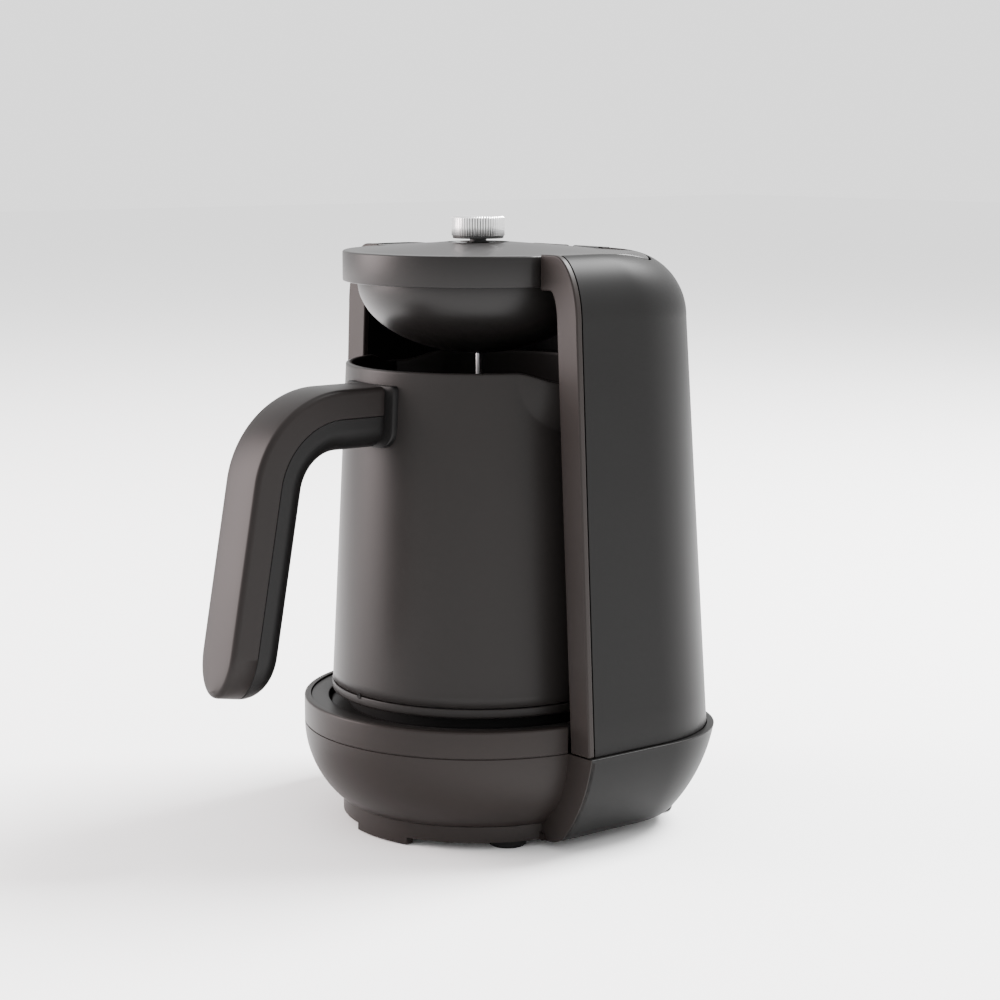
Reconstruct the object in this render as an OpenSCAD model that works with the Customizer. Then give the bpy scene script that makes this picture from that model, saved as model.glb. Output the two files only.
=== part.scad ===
// Electric Turkish coffee maker: a round base, a column with a U-shaped front
// frame, a tilting head with a whisk, and a lift-off pot with an L-shaped handle.
// Millimetres, +Z up, -Y is the front, where the handle points.
// The pot, the head disc, the knob and the bowl of the base share one vertical axis.

/* [Base] */
// Outer radius of the bowl's rim
rim_r = 64.2; // [62.5:0.1:65]
// Height of the rim's top edge above the table
rim_top_z = 46.5; // [45.5:0.1:47.5]
// Height of the fine line under the rim band
band_z = 36.8; // [36:0.1:37.4]
// Radius of the bowl's side in section
bowl_side_r = 36; // [34:0.5:40]
// Wall of the base mouldings
base_wall = 2.4; // [2:0.1:2.8]
// Outer radius of the plinth ring
plinth_r = 50.3; // [48:0.1:51]
// Top of the plinth ring
plinth_top_z = 8.7; // [8:0.1:9.5]
// Height of the base's underside above the table
underside_z = 3; // [2.5:0.1:4]
// Half the width of the base housing at its top
base_half_w = 75.9; // [75.4:0.1:77]
// Rear of the base housing, from the pot's axis
base_rear_y = 72.6; // [72:0.1:76]
// Plan radius of the base housing's rear corners
base_corner_r = 44; // [38:0.5:48]
// Top of the base housing, where the column stands
deck_z = 37; // [36.6:0.1:38]
// Thickness of the deck under the column
deck_t = 2.4; // [2:0.1:3]
// Radius of a rubber foot
foot_r = 6.8; // [5:0.1:7.5]
// Distance of the feet from the middle plane
foot_x = 38.6; // [34:0.1:39.5]
// Front row of feet, from the pot's axis
foot_front_y = -17.3; // [-19:0.1:-15]
// Rear row of feet, from the pot's axis
foot_rear_y = 52.7; // [46:0.1:54]
// Left end of the skid at the front of the plinth
skid_left_x = -7.4; // [-12:0.1:-4]
// Right end of the skid
skid_right_x = 18.3; // [12:0.1:22]
// Gap between the skid and the table
skid_gap = 0.5; // [0.3:0.1:1.5]

/* [Column] */
// Front plane of the frame, in front of the pot's axis
frame_front = 10.3; // [9.5:0.1:12]
// Thickness of the front frame
frame_t = 2.7; // [2:0.1:3.4]
// How far the base stands out beyond the foot of the column's sides
side_lip = 1.2; // [0.8:0.1:1.6]
// How far the base stands out behind the foot of the column
rear_lip = 2.1; // [1.6:0.1:2.8]
// How far each side leans out, per millimetre of height
side_lean = 0.0527; // [0.048:0.0005:0.055]
// How far each inner side of the arch leans out, per millimetre
arch_lean = 0.0572; // [0.055:0.0002:0.059]
// Top of the column
column_top_z = 208.7; // [206.5:0.1:211]
// Height of the rounded shoulder
shoulder_h = 24; // [20:0.5:28]
// Width of the rounded shoulder at the sides
shoulder_w = 12.5; // [11:0.1:14]
// Depth of the rounded shoulder at the rear
shoulder_d = 26; // [23:0.5:26.5]
// How far the rear leans back, per millimetre of height
rear_lean = 0.0348; // [0.03:0.0005:0.04]
// Plan radius of the column's rear corners
column_corner_r = 45; // [40:0.5:48]
// Wall of the rear shell
shell_wall = 2.2; // [1.8:0.1:2.6]
// Wall of the liner behind the pot
liner_wall = 1.6; // [1.2:0.1:2]
// Room between the pot's foot and the liner's back
liner_room = 4.6; // [3.5:0.1:5]

/* [Head] */
// Radius of the round head
head_r = 48.7; // [46:0.1:50]
// Underside of the head
head_low_z = 197.4; // [196.5:0.1:198.5]
// Top edge of the head
head_top_z = 208.2; // [207.5:0.1:208.6]
// How far the head's top rises to the knob
cone_rise = 2.8; // [1.5:0.1:4]
// Width of the flat ring round that rise
cone_inset = 5.6; // [4:0.1:8]
// Wall of the head's cover
head_wall = 2.3; // [2:0.1:2.8]
// Half the width of the lid panel over the column
lid_half_w = 54.7; // [53:0.1:55.5]
// Rear edge of the lid panel, from the pot's axis
lid_rear_y = 38.5; // [36:0.1:39]
// Running gap beside the lid panel
lid_gap = 0.6; // [0.5:0.05:0.9]
// Running gap behind the lid panel
lid_rear_gap = 0.8; // [0.7:0.05:0.9]
// Half the width of the neck between the frame's shoulders
neck_half_w = 47; // [45:0.1:47.4]
// Room between the dome and the inside of the pot's rim
dome_room = 2; // [1.5:0.1:3]
// Height that the dome's full curve would have
dome_h = 26; // [24:0.5:27]
// Radius of the flat at the dome's bottom
dome_flat_r = 9; // [7:0.5:12]
// Wall of the dome
dome_wall = 2; // [1.6:0.1:2.4]
// Hinge pin, from the pot's axis
hinge_y = 43.5; // [43.3:0.05:43.9]
// Hinge pin above the table
hinge_z = 206.6; // [206.3:0.05:206.7]
// Radius of the hinge pin
hinge_pin_r = 1; // [0.8:0.05:1.1]
// Radius of the hinge barrel
barrel_r = 2; // [1.8:0.05:2.05]
// Running clearance of pins and shafts
running = 0.05; // [0.03:0.01:0.08]

/* [Knob and whisk] */
// Radius of the knob over its ribs
knob_r = 9.55; // [8:0.05:11]
// Height of the knob
knob_h = 8; // [6:0.1:10]
// Number of ribs round the knob
knob_ribs = 60; // [40:1:72]
// Depth of the grooves between the ribs
rib_depth = 0.45; // [0.2:0.05:0.7]
// Gap under the knob
knob_gap = 1.3; // [1.2:0.05:1.8]
// How far the knob presses down
press_travel = 0.9; // [0.5:0.05:1]
// Radius of the knob's shaft
stem_r = 3; // [2.5:0.05:3.2]
// Radius of the motor
motor_r = 14; // [11:0.1:15]
// Length of the motor
motor_h = 18; // [14:0.1:19]
// Radius of the whisk's rod
rod_r = 0.95; // [0.8:0.05:1.2]
// Lowest point of the whisk above the table
whisk_low_z = 134; // [132:0.5:142]
// Radius of the whisk's ring
whisk_r = 5.5; // [4.5:0.1:6]
// Radius of the whisk's wire
whisk_wire_r = 0.7; // [0.5:0.05:0.9]

/* [Pot] */
// Outer radius of the pot at its foot
pot_low_r = 53.9; // [53:0.1:54.3]
// How much narrower the pot's rim is than its foot, in radius
pot_taper = 6.1; // [5.8:0.1:6.8]
// Height of the pot's foot above the table
pot_low_z = 48.5; // [48:0.1:49.5]
// Height of the pot's rim above the table
pot_rim_z = 168.2; // [164:0.1:170]
// Wall of the pot
pot_wall = 2.4; // [2:0.1:2.8]
// Height of the ring round the pot's foot
foot_ring_h = 3.4; // [2.8:0.1:4]
// Groove between that ring and the pot's wall
groove_h = 0.4; // [0.3:0.05:0.7]
// How far the rim dips at a spout
spout_dip = 3.6; // [2:0.1:5]
// Height of a spout
spout_h = 20.5; // [14:0.5:26]
// Half the angle that a spout takes of the rim
spout_half_angle = 22.2; // [16:0.2:24]

/* [Handle] */
// Half the width of the handle
grip_half_w = 10.2; // [8:0.1:11]
// Distance of the bend's centre in front of the pot's axis
bend_y = 66; // [62:0.1:70]
// Height of the bend's centre
bend_z = 126.3; // [122:0.1:130]
// Outer radius of the bend
bend_out_r = 36.8; // [35:0.1:38]
// Depth of the handle's front shell
front_depth = 10.4; // [9:0.1:12]
// Depth of the handle's inner shell
inner_depth = 11.4; // [10:0.1:13]
// Lean of the grip, in degrees
grip_lean = 10.4; // [6:0.1:13]
// Length of the straight grip below the bend
grip_len = 73.7; // [64:0.1:76]
// Rounding of the front shell's long edges
front_edge_r = 2; // [1:0.1:3]
// Rounding of the inner shell's long edges
inner_edge_r = 8; // [4:0.1:9]
// Wall of the handle's two shells
grip_wall = 2.2; // [1.8:0.1:2.8]
// Half the width of the collar where the handle meets the pot
collar_half_w = 14.2; // [11.5:0.1:16]

/* [Hidden] */
$fn = 96;
EPS = 0.01;
FAR = 400;
FIT = 0.3;              // clearance between mouldings that only sit together
WALL_GAP = 0.01;        // clearance between a round seat and a many-sided wall

// finish colours
DARK = [0.20, 0.19, 0.19];
BROWN = [0.30, 0.27, 0.26];
BLACK = [0.08, 0.08, 0.08];
SILVER = [0.80, 0.80, 0.82];
STEEL = [0.62, 0.62, 0.64];
GREEN = [0.10, 0.32, 0.18];
RUBBER = [0.05, 0.05, 0.05];
COPPER = [0.62, 0.40, 0.26];

// the foremost point of the whole object is the foot of the handle's front face
front_y = -(bend_y + bend_out_r * cos(grip_lean) + grip_len * sin(grip_lean));

// the whole object is centred on the origin in plan
axis_y = -(front_y + base_rear_y) / 2;

// heights that follow from the driving sizes
shoulder_z = column_top_z - shoulder_h;
column_low_z = deck_z + FIT;
deck_low_z = deck_z - deck_t;
tray_floor_z = rim_top_z - 3.2;
tray_t = 2;
tray_r = rim_r - base_wall - FIT;
frame_back_y = -frame_front + frame_t;
pot_rim_r = pot_low_r - pot_taper;
dome_r = pot_rim_r - pot_wall - dome_room;
pot_wall_z = pot_low_z + foot_ring_h + groove_h;
cone_top_z = head_top_z + cone_rise;
knob_low_z = cone_top_z + knob_gap;
lid_under_z = head_top_z - head_wall;
dome_low_z = head_low_z - dome_h * sqrt(1 - pow(dome_flat_r / dome_r, 2));

module at_axis() translate([0, axis_y, 0]) children();

// ---------------------------------------------------------------- outlines

function arc(cx, cy, r, a0, a1, n = 12) =
    [for (i = [0:n]) let (a = a0 + (a1 - a0) * i / n) [cx + r * cos(a), cy + r * sin(a)]];

// plan with two round rear corners and a straight front
module plan(half_w, front, rear, corner) {
    polygon(concat([[half_w, front]],
        arc(half_w - corner, rear - corner, corner, 0, 90, 16),
        arc(-half_w + corner, rear - corner, corner, 90, 180, 16),
        [[-half_w, front]]));
}

function reversed(list) = [for (i = [len(list) - 1:-1:0]) list[i]];

module slice(z) translate([0, 0, z]) linear_extrude(EPS) children();

// how far the base housing's side has drawn in at a slope angle
side_slope = 10;
turn_slope = 40;
side_run = deck_z - underside_z;
turn_share = 0.113;
side_arc_r = side_run * (1 - turn_share) / (sin(turn_slope) - sin(side_slope));
turn_arc_r = side_run * turn_share / (1 - sin(turn_slope));
function side_inset(a) = a <= turn_slope
    ? side_arc_r * (cos(side_slope) - cos(a))
    : side_inset(turn_slope) + turn_arc_r * (cos(turn_slope) - cos(a));
function side_z(a) = a <= turn_slope
    ? deck_z - side_arc_r * (sin(a) - sin(side_slope))
    : side_z(turn_slope) - turn_arc_r * (sin(a) - sin(turn_slope));
side_steps = [10, 15, 20, 25, 30, 35, 40, 50, 60, 75, 90];

module housing_solid(off, front, top) {
    hull() for (a = side_steps) {
        i = side_inset(a) + off;
        slice(min(side_z(a), top) - EPS * (a < 90 ? 1 : 0))
            plan(base_half_w - i, front, base_rear_y - i, base_corner_r - i);
    }
}

// column: straight leaning sides, then an elliptical shoulder
shoulder_steps = [0, 12, 24, 36, 48, 60, 72, 81, 90];
function column_w(z) = base_half_w - side_lip - side_lean * (z - column_low_z);
function column_y(z) = base_rear_y - rear_lip - rear_lean * (z - column_low_z);
function arch_w(z) = rim_r + arch_lean * (rim_top_z - z);
column_half_w = column_w(shoulder_z);
column_rear_y = column_y(shoulder_z);
corner_shrink = 10;

module column_solid(off, front, low) {
    hull() {
        slice(low) plan(column_w(low) - off, front, column_y(low) - off,
            column_corner_r - off);
        for (a = shoulder_steps) {
            k = 1 - cos(a);
            z = shoulder_z + (shoulder_h - off) * sin(a);
            slice(z - EPS) plan(column_half_w - shoulder_w * k - off, front,
                column_rear_y - shoulder_d * k - off,
                column_corner_r - corner_shrink * k - off);
        }
    }
}

// ---------------------------------------------------------------- base

function bowl_profile(off, low) =
    let (cx = rim_r - bowl_side_r, n = 14,
        a1 = asin((band_z - low) / (bowl_side_r - off)))
    [for (i = [0:n]) let (a = -a1 + a1 * i / n)
        [cx + (bowl_side_r - off) * cos(a), band_z + (bowl_side_r - off) * sin(a)]];

rim_round = 0.8;

module front_half() intersection() {
    children();
    translate([-FAR / 2, -FAR, -FAR / 2]) cube([FAR, FAR - frame_front, FAR]);
}

module base_bowl() {
    color(BROWN) at_axis() front_half() rotate_extrude() polygon(concat(
        bowl_profile(0, plinth_top_z),
        [[rim_r, rim_top_z - rim_round], [rim_r - rim_round, rim_top_z],
         [rim_r - base_wall, rim_top_z], [rim_r - base_wall, band_z]],
        reversed(bowl_profile(base_wall, plinth_top_z))));
}

module foot_places() {
    for (sx = [-1, 1], y = [foot_front_y, foot_rear_y])
        translate([sx * foot_x, y, 0]) children();
}

foot_top_z = underside_z + 4;
foot_wall = 1.4;

// the space inside the bowl, below the deck
module bowl_inside() {
    rotate_extrude() polygon(concat([[0, underside_z - 1]],
        [[plinth_r - base_wall, underside_z - 1]],
        [for (p = bowl_profile(base_wall, plinth_top_z)) if (p[1] < deck_low_z) p],
        [[0, deck_low_z]]));
}

module base_housing() {
    color(DARK) at_axis() difference() {
        union() {
            difference() {
                housing_solid(0, -frame_front, deck_z);
                housing_solid(base_wall, -frame_front + base_wall, deck_low_z);
            }
            // sockets of the rear feet
            intersection() {
                housing_solid(0, -frame_front, deck_z);
                for (sx = [-1, 1]) translate([sx * foot_x, foot_rear_y, 0])
                    cylinder(r = foot_r + foot_wall, h = foot_top_z + foot_wall);
            }
        }
        // the bowl's inside runs on through the front wall
        intersection() {
            bowl_inside();
            translate([-FAR / 2, -FAR - frame_front + base_wall + 1, -FAR / 2])
                cube(FAR);
        }
        // open underside, closed by the cover
        translate([0, 0, underside_z - 1]) linear_extrude(1 + base_wall)
            cover_plan(0);
        foot_places() translate([0, 0, -1]) cylinder(r = foot_r, h = foot_top_z + 1);
        translate([0, 0, deck_low_z - 1]) cylinder(r = connector_neck_r + FIT, h = deck_t + 2);
        gland_place() cylinder(r = gland_r, h = 3 * gland_len, center = true);
    }
}

// underside opening of the housing, and the cover that fills it
cover_inset = side_inset(90) + base_wall;
module cover_plan(off) {
    half_w = base_half_w - cover_inset;
    rear = base_rear_y - cover_inset;
    plan(half_w - off, -frame_front - 1, rear - off, base_corner_r - cover_inset - off);
}

module base_cover() {
    color(BLACK) at_axis() difference() {
        union() {
            translate([0, 0, underside_z]) {
                cylinder(r = plinth_r, h = base_wall);
                linear_extrude(base_wall) cover_plan(FIT);
            }
            // plinth ring under the bowl
            front_half() difference() {
                translate([0, 0, underside_z])
                    cylinder(r = plinth_r, h = plinth_top_z - underside_z);
                cylinder(r = plinth_r - base_wall, h = plinth_top_z + 1);
            }
            // skid
            intersection() {
                difference() {
                    translate([0, 0, skid_gap]) cylinder(r = plinth_r,
                        h = underside_z - skid_gap + 1);
                    cylinder(r = plinth_r - base_wall, h = underside_z + 2);
                }
                translate([skid_left_x, -plinth_r - 1, 0])
                    cube([skid_right_x - skid_left_x, plinth_r, underside_z + 1]);
            }
            for (p = boss_places) translate([p[0], p[1], underside_z])
                cylinder(r = boss_r, h = deck_low_z - underside_z);
            // sockets of the front feet
            for (sx = [-1, 1]) translate([sx * foot_x, foot_front_y, underside_z])
                cylinder(r = foot_r + foot_wall, h = foot_top_z - underside_z + foot_wall);
        }
        foot_places() translate([0, 0, -1]) cylinder(r = foot_r, h = foot_top_z + 1);
        for (p = boss_places) translate([p[0], p[1], 0]) {
            cylinder(r = screw_r, h = deck_z);
            cylinder(r = screw_head_r + FIT, h = underside_z + sink);
        }
        // ventilation slots
        for (i = [-3:3]) translate([i * 8 - 1.25, 8, underside_z - 1])
            cube([2.5, 16, base_wall + 2]);
    }
}

boss_places = [[-27, -28], [27, -28], [-26, 38], [26, 38]];
boss_r = 4;
screw_r = 1.5;
screw_head_r = 2.8;
screw_head_h = 1.4;
sink = 1.6;             // depth that a screw's head is let in

// a screw that points up from its head's underside
module screw(len) {
    cylinder(r = screw_head_r, h = screw_head_h);
    cylinder(r = screw_r, h = len);
}

module cover_screws() {
    color(STEEL) at_axis() for (p = boss_places)
        translate([p[0], p[1], underside_z + sink - screw_head_h])
            screw(deck_low_z - underside_z - 1);
}

module feet() {
    color(RUBBER) at_axis() foot_places() {
        translate([0, 0, 1]) cylinder(r = foot_r, h = foot_top_z - 1);
        cylinder(r1 = foot_r - 1, r2 = foot_r, h = 1);
    }
}

module well_tray() {
    low = tray_floor_z - tray_t;
    color(DARK) at_axis() difference() {
        rotate_extrude() polygon([[connector_neck_r + FIT, low], [tray_r, low],
            [tray_r, rim_top_z - 0.6], [tray_r - 1.2, rim_top_z - 0.6],
            [tray_r - 3.2, tray_floor_z], [connector_neck_r + FIT, tray_floor_z]]);
        // flat at the rear, where the liner comes down
        translate([-FAR / 2, liner_rear(tray_floor_z) - FIT, 0]) cube(FAR);
    }
    // wall that stands on the deck
    color(DARK) at_axis() difference() {
        translate([0, 0, deck_z]) cylinder(r = tray_leg_r, h = low - deck_z + EPS);
        translate([0, 0, deck_z - 1]) cylinder(r = tray_leg_r - tray_t, h = 9);
        translate([-FAR / 2, frame_back_y + FIT - FAR, 0]) cube(FAR);
    }
}
tray_leg_r = 52;

seat_in_r = 41;
seat_out_r = 48;
module seat_ring() {
    color(RUBBER) at_axis() translate([0, 0, tray_floor_z]) difference() {
        cylinder(r = seat_out_r, h = pot_low_z - tray_floor_z);
        translate([0, 0, -1]) cylinder(r = seat_in_r, h = pot_low_z);
    }
}

connector_r = 15;
connector_neck_r = 7;
connector_top_z = pot_low_z - FIT;
post_r = 4.5;
post_top_z = pot_low_z + 5;
module base_connector() {
    color(BLACK) at_axis() {
        translate([0, 0, tray_floor_z])
            cylinder(r = connector_r, h = connector_top_z - tray_floor_z);
        translate([0, 0, deck_low_z - 6])
            cylinder(r = connector_neck_r, h = tray_floor_z - deck_low_z + 6 + EPS);
        translate([0, 0, connector_top_z - EPS])
            cylinder(r = post_r, h = post_top_z - connector_top_z);
    }
}

board_half_w = 24;
board_front_y = -22;
board_rear_y = 34;
board_z = 14;
board_t = 1.6;
module control_board() {
    color(GREEN) at_axis() {
        difference() {
            translate([-board_half_w, board_front_y, board_z])
                cube([2 * board_half_w, board_rear_y - board_front_y, board_t]);
            for (p = boss_places) translate([p[0], p[1], 0])
                cylinder(r = boss_r + FIT, h = deck_z);
        }
        // stand-offs
        for (x = [-18, 18], y = [board_front_y + 4, board_rear_y - 4])
            translate([x, y, underside_z + base_wall])
                cylinder(r = 2.2, h = board_z - underside_z - base_wall);
    }
}

module board_parts() {
    top = board_z + board_t;
    color(BLACK) at_axis() {
        translate([-20, -14, top]) cube([15, 19, 11]);
        translate([4, -16, top]) cube([14, 12, 9]);
        translate([8, 8, top]) cylinder(r = 5, h = 11);
        translate([-12, 18, top]) cylinder(r = 4, h = 9);
    }
}

gland_z = 19;
gland_r = 5;
gland_bore_r = 3.2;
gland_len = 13;
gland_out = 1.2;
gland_rear_y = base_rear_y - 3.1;
gland_flange_t = 2.6;
gland_flange_out = 0.8;
module gland_place() translate([0, gland_rear_y - gland_len / 2 + gland_out, gland_z])
    rotate([90, 0, 0]) children();

module cord_gland() {
    color(RUBBER) at_axis() gland_place() difference() {
        union() {
            cylinder(r = gland_r - running, h = gland_len, center = true);
            translate([0, 0, -gland_len / 2]) cylinder(r = gland_r - running, h = 1);
            translate([0, 0, gland_len / 2 - gland_flange_t])
                cylinder(r = gland_r + gland_flange_out, h = gland_flange_t);
        }
        cylinder(r = gland_bore_r, h = gland_len + 2, center = true);
    }
}

// ---------------------------------------------------------------- column

arch_top_z = head_low_z - 1;
arch_round_w = 3.9;
arch_round_h = 12;
bar_h = 4;

function outer_edge() = concat([[column_w(column_low_z), column_low_z]],
    [for (a = [0:10:90]) [column_half_w - shoulder_w * (1 - cos(a)),
        shoulder_z + shoulder_h * sin(a)]]);
function arch_edge() = concat([[arch_w(column_low_z + bar_h), column_low_z + bar_h]],
    [for (a = [0:15:90]) [arch_w(arch_top_z - arch_round_h)
        - arch_round_w * (1 - cos(a)), arch_top_z - arch_round_h + arch_round_h * sin(a)]]);

function mirrored(list) = [for (p = reversed(list)) [-p[0], p[1]]];

module front_frame() {
    color(BROWN) at_axis() translate([0, frame_back_y, 0]) rotate([90, 0, 0])
        linear_extrude(frame_t) difference() {
            polygon(concat(outer_edge(), mirrored(outer_edge())));
            polygon(concat(arch_edge(), mirrored(arch_edge())));
            translate([-neck_half_w - lid_gap, arch_top_z - 3])
                square([2 * (neck_half_w + lid_gap), shoulder_h * 2]);
        }
}

hinge_half_w = 21;

module rear_shell() {
    color(DARK) at_axis() difference() {
        column_solid(0, frame_back_y, column_low_z);
        column_solid(shell_wall, frame_back_y - 1, column_low_z - 1);
        // slot for the lid panel
        translate([0, 0, shoulder_z + 2]) linear_extrude(FAR)
            lid_slot();
        // notch for the hinge
        translate([-hinge_half_w - lid_gap, lid_rear_y - 5, shoulder_z + 2])
            cube([2 * (hinge_half_w + lid_gap), hinge_y + barrel_r + FIT - lid_rear_y + 5,
                FAR]);
    }
}

lid_corner_r = 10;
module lid_plan(off, front)
    plan(lid_half_w + off, front, lid_rear_y + off, lid_corner_r + off);
module lid_slot()
    plan(lid_half_w + lid_gap, frame_back_y - 1, lid_rear_y + lid_rear_gap,
        lid_corner_r + lid_gap);

liner_top_z = head_low_z - 2;
liner_top_y = 48;
liner_corner_r = 44;
function liner_rear(z) = pot_low_r + liner_room
    + (liner_top_y - pot_low_r - liner_room) * (z - column_low_z)
    / (liner_top_z - column_low_z);

module liner_solid(off, low, high, front) {
    hull() for (z = [low, high - EPS])
        slice(z) plan(arch_w(z) + off, front, liner_rear(z) + off, liner_corner_r + off);
}

module inner_liner() {
    low = column_low_z - FIT;
    color(BLACK) at_axis() difference() {
        union() {
            liner_solid(FIT + liner_wall, low, liner_top_z, frame_back_y);
            hinge_screw_places(liner_top_z - 12) cylinder(r = screw_r + 2, h = 12);
        }
        liner_solid(FIT, low - 1, liner_top_z + 1, frame_back_y - 1);
        hinge_screw_places(liner_top_z - 8) cylinder(r = screw_r, h = 9);
    }
}

hinge_screw_x = 12;
hinge_screw_y = liner_top_y + FIT + liner_wall + 2;
module hinge_screw_places(z)
    for (sx = [-1, 1]) translate([sx * hinge_screw_x, hinge_screw_y, z]) children();

bracket_low_z = liner_top_z;
bracket_front_y = lid_rear_y + lid_rear_gap;
bracket_rear_y = hinge_y + barrel_r;
knuckle_gap = 0.2;
knuckle_x = [2.5, 8, 15, 21];

// knuckles on both sides of the middle, from one place to another along X
module knuckles(x0, x1, r) {
    for (s = [-1, 1]) translate([s > 0 ? x0 : -x1, hinge_y, hinge_z])
        rotate([0, 90, 0]) cylinder(r = r, h = x1 - x0);
}

module hinge_bracket() {
    foot_y = hinge_screw_y + screw_head_r + 1;
    color(STEEL) at_axis() difference() {
        union() {
            knuckles(knuckle_x[0], knuckle_x[1] - knuckle_gap, barrel_r);
            knuckles(knuckle_x[2] + knuckle_gap, knuckle_x[3], barrel_r);
            for (s = [-1, 1], k = [0, 2]) {
                x0 = knuckle_x[k] + (k == 2 ? knuckle_gap : 0);
                x1 = knuckle_x[k + 1] - (k == 0 ? knuckle_gap : 0);
                translate([s > 0 ? x0 : -x1, bracket_front_y, bracket_low_z])
                    cube([x1 - x0, bracket_rear_y - bracket_front_y, hinge_z - bracket_low_z]);
            }
            // foot plate that lies on the liner's top edge
            translate([-hinge_half_w, bracket_front_y, bracket_low_z])
                cube([2 * hinge_half_w, foot_y - bracket_front_y, 2]);
        }
        pin_bore();
        hinge_screw_places(bracket_low_z - 1) cylinder(r = screw_r + FIT, h = 4);
    }
}

module pin_bore() translate([-FAR / 2, hinge_y, hinge_z]) rotate([0, 90, 0])
    cylinder(r = hinge_pin_r + running, h = FAR);

module hinge_pin() {
    color(STEEL) at_axis() translate([-knuckle_x[3], hinge_y, hinge_z])
        rotate([0, 90, 0]) cylinder(r = hinge_pin_r, h = 2 * knuckle_x[3]);
}

module hinge_screws() {
    color(STEEL) at_axis() hinge_screw_places(bracket_low_z + 2 + screw_head_h)
        mirror([0, 0, 1]) screw(7);
}

// ---------------------------------------------------------------- head

// round front, a neck between the frame's shoulders, and the lid panel behind them
module head_outline(off, front) {
    intersection() {
        circle(r = head_r + off);
        translate([-neck_half_w - off, -head_r])
            square([2 * (neck_half_w + off), head_r]);
    }
    translate([-neck_half_w - off, -frame_front - 4])
        square([2 * (neck_half_w + off), 12]);
    lid_plan(off, front);
}

lid_front_y = frame_back_y + lid_gap;
skirt_front_y = frame_back_y + 1.4;

module head_cover() {
    color(DARK) at_axis() difference() {
        union() {
            // the skirt stands back, so that it clears the frame as the head tilts
            translate([0, 0, head_low_z]) linear_extrude(lid_under_z - head_low_z + EPS)
                head_outline(0, skirt_front_y);
            translate([0, 0, lid_under_z]) linear_extrude(head_wall)
                head_outline(0, lid_front_y);
            intersection() {
                translate([0, 0, head_top_z - EPS])
                    cylinder(r1 = head_r - cone_inset, r2 = knob_r + 2,
                        h = cone_rise + EPS);
                linear_extrude(FAR) head_outline(-0.5, lid_front_y + 0.5);
            }
        }
        translate([0, 0, head_low_z - 1]) linear_extrude(lid_under_z - head_low_z + 1)
            head_outline(-head_wall, skirt_front_y + head_wall);
        translate([0, 0, head_low_z]) cylinder(r = bush_r + running, h = FAR);
        for (p = head_screw_places) translate([p[0], p[1], head_low_z])
            cylinder(r = screw_r, h = lid_under_z - head_low_z + 1);
    }
    color(DARK) at_axis() for (p = head_screw_places)
        translate([p[0], p[1], head_low_z + tray_plate_t]) difference() {
            cylinder(r = boss_r, h = lid_under_z - head_low_z - tray_plate_t + EPS);
            translate([0, 0, -1]) cylinder(r = screw_r, h = 6);
        }
}

tray_plate_t = 2.2;
tray_hole_r = 24;
head_screw_places = [[-47.5, 4], [47.5, 4], [-46, 24], [46, 24]];

module head_tray() {
    color(DARK) at_axis() difference() {
        translate([0, 0, head_low_z]) linear_extrude(tray_plate_t)
            head_outline(-head_wall - FIT, skirt_front_y + head_wall + FIT);
        translate([0, 0, head_low_z - 1]) cylinder(r = tray_hole_r, h = 9);
        for (p = head_screw_places) translate([p[0], p[1], head_low_z - 1]) {
            cylinder(r = screw_r + FIT, h = 9);
            cylinder(r = screw_head_r + FIT, h = 1 + sink);
        }
        motor_screw_places(head_low_z - 1) cylinder(r = screw_r, h = 9);
    }
}

module head_screws() {
    color(STEEL) at_axis() for (p = head_screw_places)
        translate([p[0], p[1], head_low_z + sink - screw_head_h]) screw(7);
}

function dome_profile(off) =
    let (rx = dome_r - off, rz = dome_h - off, n = 16,
        a1 = acos(min(1, dome_flat_r / rx)))
    [for (i = [0:n]) let (a = a1 * i / n) [rx * cos(a), head_low_z - rz * sin(a)]];

// solid dome, flat at the rear in front of the hinge
module dome_solid(off) {
    intersection() {
        rotate_extrude() polygon(concat(dome_profile(off),
            [[0, dome_profile(off)[16][1]], [0, head_low_z]]));
        translate([-FAR / 2, dome_rear_y - off - FAR, 0]) cube(FAR);
    }
}
dome_rear_y = lid_rear_y - 0.8;
dome_floor_z = dome_profile(dome_wall)[16][1];

module dome() {
    color(DARK) at_axis() difference() {
        dome_solid(0);
        translate([0, 0, EPS]) dome_solid(dome_wall);
        translate([0, 0, dome_low_z - 1]) cylinder(r = seal_r + running, h = 9);
    }
}

hinge_leaf_t = 2;
module hinge_leaf() {
    x0 = knuckle_x[1];
    x1 = knuckle_x[2];
    color(STEEL) at_axis() difference() {
        union() {
            knuckles(x0, x1, barrel_r);
            for (s = [-1, 1]) translate([s > 0 ? x0 : -x1, lid_rear_y,
                    hinge_z - hinge_leaf_t + 0.6])
                cube([x1 - x0, hinge_y - lid_rear_y, hinge_leaf_t]);
        }
        pin_bore();
    }
}

motor_top_z = head_low_z + 3;
motor_low_z = motor_top_z - motor_h;
motor_bore_h = 6;
boss_h = 1.5;
shaft_r = 1;
module motor() {
    color(STEEL) at_axis() difference() {
        union() {
            translate([0, 0, motor_low_z]) cylinder(r = motor_r, h = motor_h);
            translate([0, 0, motor_low_z - boss_h]) cylinder(r = 3.5, h = boss_h + EPS);
        }
        translate([0, 0, motor_low_z - 2]) cylinder(r = shaft_r + running,
            h = motor_bore_h + 2);
    }
}

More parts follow.
